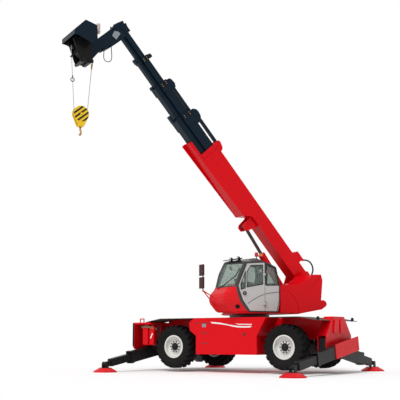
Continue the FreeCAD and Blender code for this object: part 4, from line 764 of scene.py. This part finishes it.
@dataclass
class Cab:
    """Lamps, wiper, seals and trim of the cab, in turret axes."""

    turret: Axes
    body: str = "turret"
    side: float = 1.20
    door_window: Outline = ((0.340, 2.275), (0.834, 2.187), (0.827, 2.580), (0.712, 2.748), (0.340, 2.775))
    door_vent: Outline = ((1.010, 2.120), (0.882, 2.160), (0.874, 2.590), (1.020, 2.255))
    quarter: Outline = ((-0.158, 2.262), (0.235, 2.245), (0.232, 2.790), (-0.025, 2.708), (-0.106, 2.510))
    rear_edge: Outline = ((-0.085, 1.572), (-0.165, 1.850), (-0.172, 2.270), (-0.068, 2.728), (0.330, 2.862))

    def build(self) -> None:
        """Builds every fitting of the cab."""
        self._lamps()
        self._wiper()
        self._seals()
        self._trim()
        self._vent()

    def _lamps(self) -> None:
        """Covers of the beacon and the warning lamp, and the lenses of the work lamps."""
        axes = self.turret
        for name, x, low, high, radius, finish in (
                ("beacon_cover", 0.206, 3.040, 3.140, 0.0485, LAMP_RED),
                ("warning_cover", 0.055, 3.050, 3.120, 0.0365, LAMP_AMBER)):
            shape = Solid(axes)
            shape.turned([(0.0, low), (radius, low), (radius, high + 0.001), (radius * 0.8, high + 0.006),
                          (0.0, high + 0.009)], (x, 0.70, 0), (0, 0, 1), steps=28)
            shape.piece(name, finish, self.body)
        lenses = Solid(axes)
        for y in WORK_LAMPS:
            lenses.rod((0.972, y, 2.932), (0.979, y, 2.932), 0.049, sides=28, bevel=0.002)
        lenses.piece("work_lamp_lenses", LAMP_WHITE, self.body)
        visor = Solid(axes)
        visor.prism([(0.885, 2.930), (1.03, 2.905), (1.035, 2.925), (0.89, 2.950)], 0.34, 1.04, bevel=0.004)
        visor.piece("visor", TRIM_PLASTIC, self.body)

    def _wiper(self) -> None:
        """Wiper and mirror on the windscreen."""
        shape = Solid(self.turret)
        shape.tube([(1.236, 0.43, 2.170), (1.204, 0.73, 2.270), (1.090, 1.07, 2.480), (0.985, 1.11, 2.680)],
                   0.011)
        shape.rod((1.215, 0.43, 2.160), (1.245, 0.43, 2.175), 0.028, sides=16, bevel=0.004)
        shape.piece("wiper", TRIM_PLASTIC, self.body)
        glass = Solid(self.turret)
        glass.rod((0.90, 0.55, 2.71), (0.925, 0.55, 2.70), 0.055, sides=24, bevel=0.004)
        glass.tube([(0.905, 0.55, 2.72), (0.905, 0.50, 2.80), (0.90, 0.46, 2.84)], 0.008)
        glass.piece("inside_mirror", TRIM_PLASTIC, self.body)

    def _seals(self) -> None:
        """Rubber seals round the side windows."""
        for name, outline, body in (("door_window_seal", self.door_window, "cab_door"),
                                    ("door_vent_seal", self.door_vent, "cab_door"),
                                    ("quarter_seal", self.quarter, self.body)):
            shape = Solid(self.turret)
            corners = [(x, self.side, z) for x, z in outline]
            shape.tube(corners + corners[:2], 0.009)
            shape.piece(name, TRIM_PLASTIC, body)

    def _trim(self) -> None:
        """Dark edges of the cab's side, and the curved line across door and quarter."""
        edge = Solid(self.turret)
        edge.tube([(x, self.side - 0.004, z) for x, z in self.rear_edge], 0.012)
        edge.tube([(-0.085, self.side - 0.004, 1.572), (0.72, self.side - 0.004, 1.566)], 0.010)
        edge.piece("cab_edge_trim", DARK_PAINT, self.body)
        for name, body, run in (
                ("door_line", "cab_door", [(0.810, 1.763), (0.700, 1.833), (0.597, 1.888), (0.500, 1.938),
                                           (0.408, 1.978), (0.292, 2.015)]),
                ("quarter_line", self.body, [(0.262, 2.024), (0.150, 2.045), (0.043, 2.059),
                                             (-0.160, 2.085)])):
            line = Solid(self.turret)
            line.tube([(x, self.side - 0.002, z) for x, z in run], 0.008)
            line.piece(name, DARK_BROWN_AND_PAINTED_SHADE, body)
        knob = Solid(self.turret)
        knob.turned([(0.0, 1.226), (0.034, 1.226), (0.044, 1.230), (0.050, 1.224), (0.050, 1.201),
                     (0.0, 1.201)], (0.905, 0, 2.027), (0, 1, 0), steps=32)
        knob.box((0.899, 1.226, 1.995), (0.911, 1.236, 2.059), bevel=0.003)
        knob.piece("door_knob", TRIM_PLASTIC, "cab_door")

    def _vent(self) -> None:
        """Louvred disc in the round vent of the nose."""
        facing = Vector((0.539, 0.695, -0.474)).normalized()
        centre = Vector((1.041, 1.074, 1.686)) - facing * 0.011
        across = facing.cross(Vector((0, 0, 1))).normalized()
        upward = across.cross(facing)
        disc = Solid(self.turret)
        disc.rod(centre, centre + facing * 0.003, 0.060, sides=36)
        radius, pitch = 0.056, 0.02
        for step in range(-2, 3):
            reach = math.sqrt(radius ** 2 - (step * pitch) ** 2)
            middle = centre + upward * (step * pitch) + facing * 0.004
            disc.rod(middle - across * reach, middle + across * reach, 0.006, sides=8)
        disc.piece("nose_vent", TRIM_PLASTIC, self.body)


@dataclass
class HookBlock:
    """Black stripes across the yellow cheeks of the hook block.

    Attributes:
        stripe: Width of a stripe.
        pitch: Distance from one stripe to the next.
        slant: Slant of the line across the stripes.
        count: Stripes tried to each side of the middle.
        face: Where a cheek faces outboard.
        thick: Thickness of the paint.
        disc: Radius of a cheek.
        drop: How far the cheeks' centre lies under the block's top.
    """

    turret: Axes
    stripe: float = 0.045
    pitch: float = 0.10
    slant: float = math.radians(50)
    count: int = 4
    face: float = 0.0625
    thick: float = 0.002
    disc: float = 0.200
    drop: float = 0.205

    def build(self) -> None:
        """Builds the stripes, cut to the cheek's outline."""
        low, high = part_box("hook_block")
        along = ((low + high) / 2).dot(self.turret.along)
        centre_z = high.z - self.drop
        for hand, side in SIDES:
            shape = Solid(self.turret)
            mesh = shape.mesh
            place = Matrix.Translation((along, side * self.face, centre_z))
            place = place @ Matrix.Rotation(math.pi / 2, 4, "X")
            bmesh.ops.create_circle(mesh, cap_ends=True, segments=40, radius=self.disc, matrix=place)
            self._cut_stripes(mesh, along, centre_z)
            moved = extruded(mesh, list(mesh.faces))
            bmesh.ops.translate(mesh, verts=moved, vec=(0, side * self.thick, 0))
            shape.piece(f"block_stripes_{hand}", HUB_PAINT, "block")

    def _cut_stripes(self, mesh: bmesh.types.BMesh, along: float, height: float) -> None:
        """Cuts a disc into slanting stripes.

        Args:
            mesh: Disc in turret axes.
            along: The disc's centre along the turret.
            height: Its height.
        """
        slant = Vector((math.cos(self.slant), 0, math.sin(self.slant)))
        for index in range(-self.count, self.count + 1):
            for offset in (0.0, self.stripe):
                point = Vector((along, 0, height)) + slant * (index * self.pitch + offset)
                bmesh.ops.bisect_plane(mesh, geom=list(mesh.verts) + list(mesh.edges) + list(mesh.faces),
                                       plane_co=point, plane_no=slant, dist=1e-6)
        spare = []
        for face in mesh.faces:
            reach = (face.calc_center_median() - Vector((along, 0, height))).dot(slant)
            if reach % self.pitch > self.stripe:
                spare.append(face)
        bmesh.ops.delete(mesh, geom=spare, context="FACES")


@dataclass
class Hoses:
    """The two free hoses, each carried by one body."""

    turret: Axes
    boom: Axes
    foot_side: float = 0.115
    head_side: float = 0.150
    foot: Outline = ((0.254, 0.424), (0.176, 0.515), (0.058, 0.561), (-0.067, 0.546), (-0.171, 0.475),
                     (-0.228, 0.365), (-0.232, 0.262), (-0.232, 0.162))
    head: Outline = ((4.465, 8.240), (4.465, 8.165), (4.472, 8.087), (4.470, 8.010), (4.440, 7.959),
                     (4.389, 7.930), (4.330, 7.930), (4.279, 7.959), (4.250, 8.010), (4.243, 8.085),
                     (4.250, 8.180), (4.262, 8.275), (4.262, 8.370))

    def build(self) -> None:
        """Builds both hoses, as smooth lines with a round section."""
        foot = [self.boom.at(u, self.foot_side, w) for u, w in self.foot]
        head = [self.turret.at(x, self.head_side, z) for x, z in self.head]
        for node, route, diameter, length, body in (("foot_hose", foot, 0.044, 0.815, "boom"),
                                                    ("head_hose", head, 0.020, 0.879, "boom_part_5")):
            data = bpy.data.curves.new(f"{node}_line", "CURVE")
            data.dimensions = "3D"
            data.bevel_depth = diameter / 2
            data.bevel_resolution = 6
            spline = data.splines.new("NURBS")
            spline.points.add(len(route) - 1)
            for point, place in zip(spline.points, route):
                point.co = (*place, 1.0)
            spline.order_u = 3
            spline.use_endpoint_u = True
            spline.resolution_u = 20
            data.materials.append(HOSE_RUBBER.material())
            hose = add_object(f"{node}_line", data)
            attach(hose, body)
            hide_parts(node)


@dataclass
class BoomFittings:
    """Slide pad holders, bolts and plates along the boom.

    Attributes:
        turret: The turret's axes.
        boom: The boom's axes.
        pad_heights: Where the pads sit, as shares of a tube's height.
        collars: Each collar's body, far end, half width, and its tube's top and underside.
    """

    turret: Axes
    boom: Axes
    pad_heights: Tuple[float, float] = (0.18, 0.80)
    collars: Tuple[Tuple[str, float, float, float, float], ...] = (
        ("boom_part_2", 5.66, 0.196, 0.135, -0.165),
        ("boom_part_3", 6.68, 0.168, 0.090, -0.145),
        ("boom_part_4", 7.50, 0.143, 0.057, -0.127))

    def build(self) -> None:
        """Builds the fittings of every collar and the blank plate on the neck."""
        for body, end, half, top, low in self.collars:
            holders = Solid(self.boom)
            pads = Solid(self.boom)
            for side in (1, -1):
                for share in self.pad_heights:
                    w = low + share * (top - low)
                    holders.box((end - 0.135, side * half, w - 0.045),
                                (end - 0.03, side * (half + 0.012), w + 0.045), bevel=0.003)
                    for u in (end - 0.11, end - 0.055):
                        pads.rod((u, side * (half + 0.011), w), (u, side * (half + 0.022), w), 0.011,
                                 sides=6)
            holders.piece(f"pad_holders_{body[-1]}", TRIM_PLASTIC, body)
            pads.piece(f"pad_bolts_{body[-1]}", BRASS_PAD, body)
        plate = Solid(self.turret)
        plate.prism([(4.232, 8.665), (4.174, 8.803), (4.060, 8.805), (3.999, 8.765), (4.109, 8.579)],
                    0.1215, 0.1235)
        plate.piece("neck_plate", PLATE_GREY, "boom_part_5")
        base = Solid(self.boom)
        for side in (1, -1):
            for u in (4.06, 4.22, 4.38):
                for w in (-0.13, 0.14):
                    base.rod((u, side * 0.21, w), (u, side * 0.224, w), 0.018, sides=6)
        base.piece("mouth_bolts", RED_PAINT, "boom")


@dataclass
class Ropes:
    """The two falls of the hoist rope."""

    turret: Axes
    radius: float = 0.008
    rings: int = 80
    falls: Tuple[Tuple[str, Tuple[float, float], Tuple[float, float]], ...] = (
        ("rope_front", (5.3083, 8.250), (5.1833, 6.490)),
        ("rope_rear", (4.7270, 7.878), (4.8367, 6.490)))

    def build(self) -> None:
        """Builds each fall as a straight tube from the head to the block."""
        axes = self.turret
        for name, (x0, z0), (x1, z1) in self.falls:
            shape = Solid(axes)
            steps = [k / self.rings for k in range(self.rings + 1)]
            shape.tube([(x0 + (x1 - x0) * t, 0.0, z0 + (z1 - z0) * t) for t in steps], self.radius)
            fall = shape.piece(name, ROPE_STEEL)
            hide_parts("hook_ropes")
            axes.at(x1, 0.0, z0)
            axes.at(x1, 0.0, z1)
            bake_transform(fall)


@dataclass
class HeadFittings:
    """Rope weight, rope socket, lever and motor at the winch head."""

    turret: Axes

    def build(self) -> None:
        """Builds the fittings."""
        turret = self.turret
        ring = Solid(turret)
        turns = [math.tau * k / 10 for k in range(10)]
        profile = [(0.048 + 0.010 * math.cos(a), 0.010 * math.sin(a)) for a in turns]
        ring.turned(profile, (ROPE_FRONT, 0, 7.36), (0, 1, 0), steps=28)
        ring.rod((ROPE_FRONT, 0, 7.415), (ROPE_FRONT, 0, 7.47), 0.012, 0.016, sides=12, bevel=0.002)
        ring.piece("rope_ring", TRIM_PLASTIC, "carriage")
        socket = Solid(turret)
        socket.rod((ROPE_REAR + 0.003, 0, 7.84), (ROPE_REAR + 0.014, 0, 7.70), 0.026, 0.016, sides=16,
                   bevel=0.003)
        socket.rod((ROPE_REAR, -0.035, 7.84), (ROPE_REAR, 0.035, 7.84), 0.014, sides=12, bevel=0.002)
        socket.piece("rope_socket", HOOK_GOLD, "carriage")
        lever = Solid(turret)
        lever.tube([(5.120, 0.196, 8.070), (5.235, 0.215, 8.030), (5.376, 0.215, 7.893)], 0.013)
        lever.rod((5.362, 0.215, 7.907), (5.395, 0.215, 7.874), 0.022, sides=12, bevel=0.004)
        lever.rod((5.05, -0.30, 7.850), (5.05, 0.34, 7.850), 0.045, sides=24, bevel=0.004)
        lever.piece("winch_lever", TRIM_PLASTIC, "carriage")
        motor = Solid(turret)
        motor.rod((4.705, 0.33, 8.570), (4.705, 0.33, 8.830), 0.048, sides=24, bevel=0.006)
        motor.rod((4.705, 0.33, 8.620), (4.705, 0.33, 8.640), 0.056, sides=24, bevel=0.003)
        motor.box((4.705, 0.30, 8.660), (4.784, 0.36, 8.720), bevel=0.004)
        motor.piece("winch_motor", MOTOR_PALE, "carriage")
        horns = Solid(turret)
        for side in (1, -1):
            for outline in (((4.235, 8.83), (4.200, 8.893), (4.190, 9.000), (4.108, 8.940), (4.120, 8.86)),
                            ((4.030, 8.90), (3.998, 8.976), (3.968, 9.100), (3.905, 9.050), (3.840, 9.096),
                             (3.807, 9.010), (3.850, 8.92))):
                horns.prism(outline, side * 0.095, side * 0.117, bevel=0.002)
        horns.piece("neck_horns", NAVY_PAINT, "boom_part_5")


@dataclass
class SideBoxes:
    """Stripes and fittings on the tank and locker housings."""

    face: float = 1.21
    proud: float = 0.003
    stripe_main: Outline = (
        (0.46, 1.312), (0.30, 1.304), (0.16, 1.288), (0.04, 1.268), (-0.09, 1.244), (-0.25, 1.218),
        (-0.39, 1.200), (-0.60, 1.193), (-0.815, 1.196), (-0.755, 1.158), (-0.60, 1.156), (-0.39, 1.162),
        (-0.25, 1.182), (-0.09, 1.214), (0.04, 1.234), (0.16, 1.250), (0.42, 1.274))
    stripe_thin: Outline = ((-0.30, 1.262), (-0.42, 1.254), (-0.82, 1.246), (-0.80, 1.222), (-0.42, 1.232))

    def build(self) -> None:
        """Builds the stripes, the blank plate and the latch on both sides, with dark strips of painted shade
        where the grooves are.
        """
        for hand, side in SIDES:
            face = self.face
            axes = mirrored(side)
            shape = Solid(axes)
            shape.prism(self.stripe_main, face, face + self.proud)
            shape.prism(self.stripe_thin, face, face + self.proud)
            shape.piece(f"stripe_{hand}", STRIPE_WHITE, "chassis")
            plate = Solid(axes)
            plate.box((0.605, face, 1.178), (0.730, face + 0.002, 1.264))
            plate.piece(f"side_plate_{hand}", PLATE_GREY, "chassis")
            latch_and_groove_shade = Solid(axes)
            latch_and_groove_shade.rod((-0.574, face, 0.987), (-0.574, face + 0.016, 0.987), 0.036, sides=28, bevel=0.004)
            # Painted shade: flat dark strips stand in for the shadow inside the grooves.
            for z, start in ((0.758, 0.786), (1.025, 0.786), (1.281, 0.940)):
                latch_and_groove_shade.box((0.524, face - 0.001, z - 0.008), (start, face + 0.002, z + 0.008))
            latch_and_groove_shade.piece(f"latch_{hand}", DARK_BROWN_AND_PAINTED_SHADE, "chassis")


@dataclass
class FrameFittings:
    """Lamps, rails and hoses on the stabiliser frames."""

    body: str = "chassis"
    lamp_stripe: Outline = ((2.474, 1.030), (2.440, 1.018), (2.508, 0.881), (2.542, 0.890))

    def build(self) -> None:
        """Builds the fittings of both frames, alike on both sides."""
        for hand, side in SIDES:
            axes = mirrored(side)
            strip = Solid(axes)
            strip.box((3.0745, 1.10, 0.675), (3.092, 1.208, 1.300), bevel=0.004)
            strip.box((3.030, 1.2095, 0.675), (3.076, 1.216, 1.300), bevel=0.002)
            for z in (0.79, 0.98, 1.17):
                strip.rod((3.090, 1.155, z), (3.102, 1.155, z), 0.034, sides=20, bevel=0.003)
            strip.piece(f"front_lamp_strip_{hand}", TRIM_PLASTIC, self.body)
            rail = Solid(axes)
            rail.tube([(x, 1.12, z) for x, z in ((2.76, 1.316), (2.76, 1.42), (2.89, 1.42), (2.89, 1.316))],
                      0.015, sides=10)
            rail.piece(f"front_rail_{hand}", RED_PAINT, self.body)
            hoses = Solid(axes)
            for drop in (0.0, 0.034):
                hoses.tube([(2.840 - drop, 1.135, 1.205 - drop), (2.760, 1.135, 1.222 - drop),
                            (2.620, 1.135, 1.226 - drop), (2.440, 1.130, 1.190 - drop),
                            (2.400, 1.000, 1.150 - drop)], 0.013, sides=10)
            hoses.piece(f"front_hoses_{hand}", HOSE_TAN, self.body)
            stripe = Solid(axes)
            stripe.prism(self.lamp_stripe, 1.1195, 1.1215)
            stripe.piece(f"lamp_stripe_{hand}", STRIPE_WHITE, self.body)
            lamp = Solid(axes)
            lamp.rod((-2.555, 0.99, 1.372), (-2.60, 0.99, 1.372), 0.050, sides=24, bevel=0.006)
            lamp.box((-2.57, 0.975, 1.318), (-2.545, 1.005, 1.378), bevel=0.003)
            lamp.piece(f"guard_lamp_{hand}", TRIM_PLASTIC, self.body)


@dataclass
class Studio:
    """Floor, light and camera.

    Attributes:
        eye: Where the camera stands.
        heading: Its turn towards +X from -Y.
        pitch: Its look upward.
        lens: Its focal length in millimetres.
        reach: How far the floor goes each way.
        glow: Light that the floor gives of itself.
        light: Strength of the even light.
        lift: What is added to it where it is seen.
        key: Strength of the key lamp.
        key_angle: How wide it looks.
    """

    eye: Tuple[float, float, float] = (-12.360, 20.231, 0.870)
    heading: float = math.radians(34.67)
    pitch: float = math.radians(9.15)
    lens: float = 77.62
    reach: float = 400.0
    glow: float = 0.07
    light: float = 0.55
    lift: float = 0.45
    key: float = 1.9
    key_angle: float = math.radians(25)

    def build(self) -> None:
        """Sets the whole stage."""
        self._floor()
        self._world()
        self._lamps()
        self._camera()
        bpy.context.scene.view_settings.view_transform = "Standard"

    def _floor(self) -> None:
        """Pale floor that keeps the shadow."""
        mesh = bmesh.new()
        bmesh.ops.create_grid(mesh, x_segments=1, y_segments=1, size=self.reach)
        data = bpy.data.meshes.new("floor")
        mesh.to_mesh(data)
        mesh.free()
        floor = add_object("floor", data)
        paint = Finish("floor_pale", (0.92, 0.92, 0.92), Surface.DULL, 0.9, 0.0, specular=0.1, shade=0.0,
                       relief=0.0)
        material = paint.material()
        shader = material.node_tree.nodes["Principled BSDF"]
        shader.inputs["Emission Color"].default_value = (1.0, 1.0, 1.0, 1.0)
        shader.inputs["Emission Strength"].default_value = self.glow
        data.materials.append(material)

    def _world(self) -> None:
        """Even light, white where it is seen."""
        world = bpy.data.worlds.new("studio")
        bpy.context.scene.world = world
        world.use_nodes = True
        tree = world.node_tree
        back = tree.nodes["Background"]
        back.inputs["Color"].default_value = (1, 1, 1, 1)
        path = tree.nodes.new("ShaderNodeLightPath")
        seen = math_node(tree, "MAXIMUM", path.outputs["Is Camera Ray"], path.outputs["Is Transmission Ray"])
        seen = math_node(tree, "MAXIMUM", seen, path.outputs["Is Glossy Ray"])
        lift = math_node(tree, "MULTIPLY", seen, self.lift)
        tree.links.new(math_node(tree, "ADD", lift, self.light), back.inputs["Strength"])

    def _lamps(self) -> None:
        """One broad key from high on the camera's left."""
        data = bpy.data.lights.new("key", "SUN")
        data.energy = self.key
        data.angle = self.key_angle
        lamp = add_object("key", data)
        toward = Vector((0.10, -0.62, -0.78))
        lamp.rotation_euler = toward.to_track_quat("-Z", "Y").to_euler()

    def _camera(self) -> None:
        """Camera at the chosen angle."""
        data = bpy.data.cameras.new("camera")
        data.lens = self.lens
        data.sensor_width = 36.0
        data.clip_end = 2000.0
        camera = add_object("camera", data)
        camera.location = self.eye
        ahead = Vector((math.cos(self.pitch) * math.sin(self.heading),
                        -math.cos(self.pitch) * math.cos(self.heading), math.sin(self.pitch)))
        camera.rotation_euler = ahead.to_track_quat("-Z", "Y").to_euler()
        bpy.context.scene.camera = camera


def clear_scene() -> None:
    """Removes what Blender starts with."""
    for item in list(bpy.data.objects):
        bpy.data.objects.remove(item)


def main() -> None:
    """Builds the machine's finishes and fittings, then the studio."""
    logging.basicConfig(level=logging.INFO)
    clear_scene()
    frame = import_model()
    turret, boom = turret_and_boom(frame)
    dress_frame(frame, math.atan2(turret.along.y, turret.along.x))
    for part in (Wheels(), Cab(turret), Hoses(turret, boom), BoomFittings(turret, boom),
                 HeadFittings(turret), Ropes(turret), HookBlock(turret), SideBoxes(), FrameFittings()):
        part.build()
        LOG.info("%s built", type(part).__name__)
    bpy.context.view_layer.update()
    Studio().build()


if __name__ == "__main__":
    main()
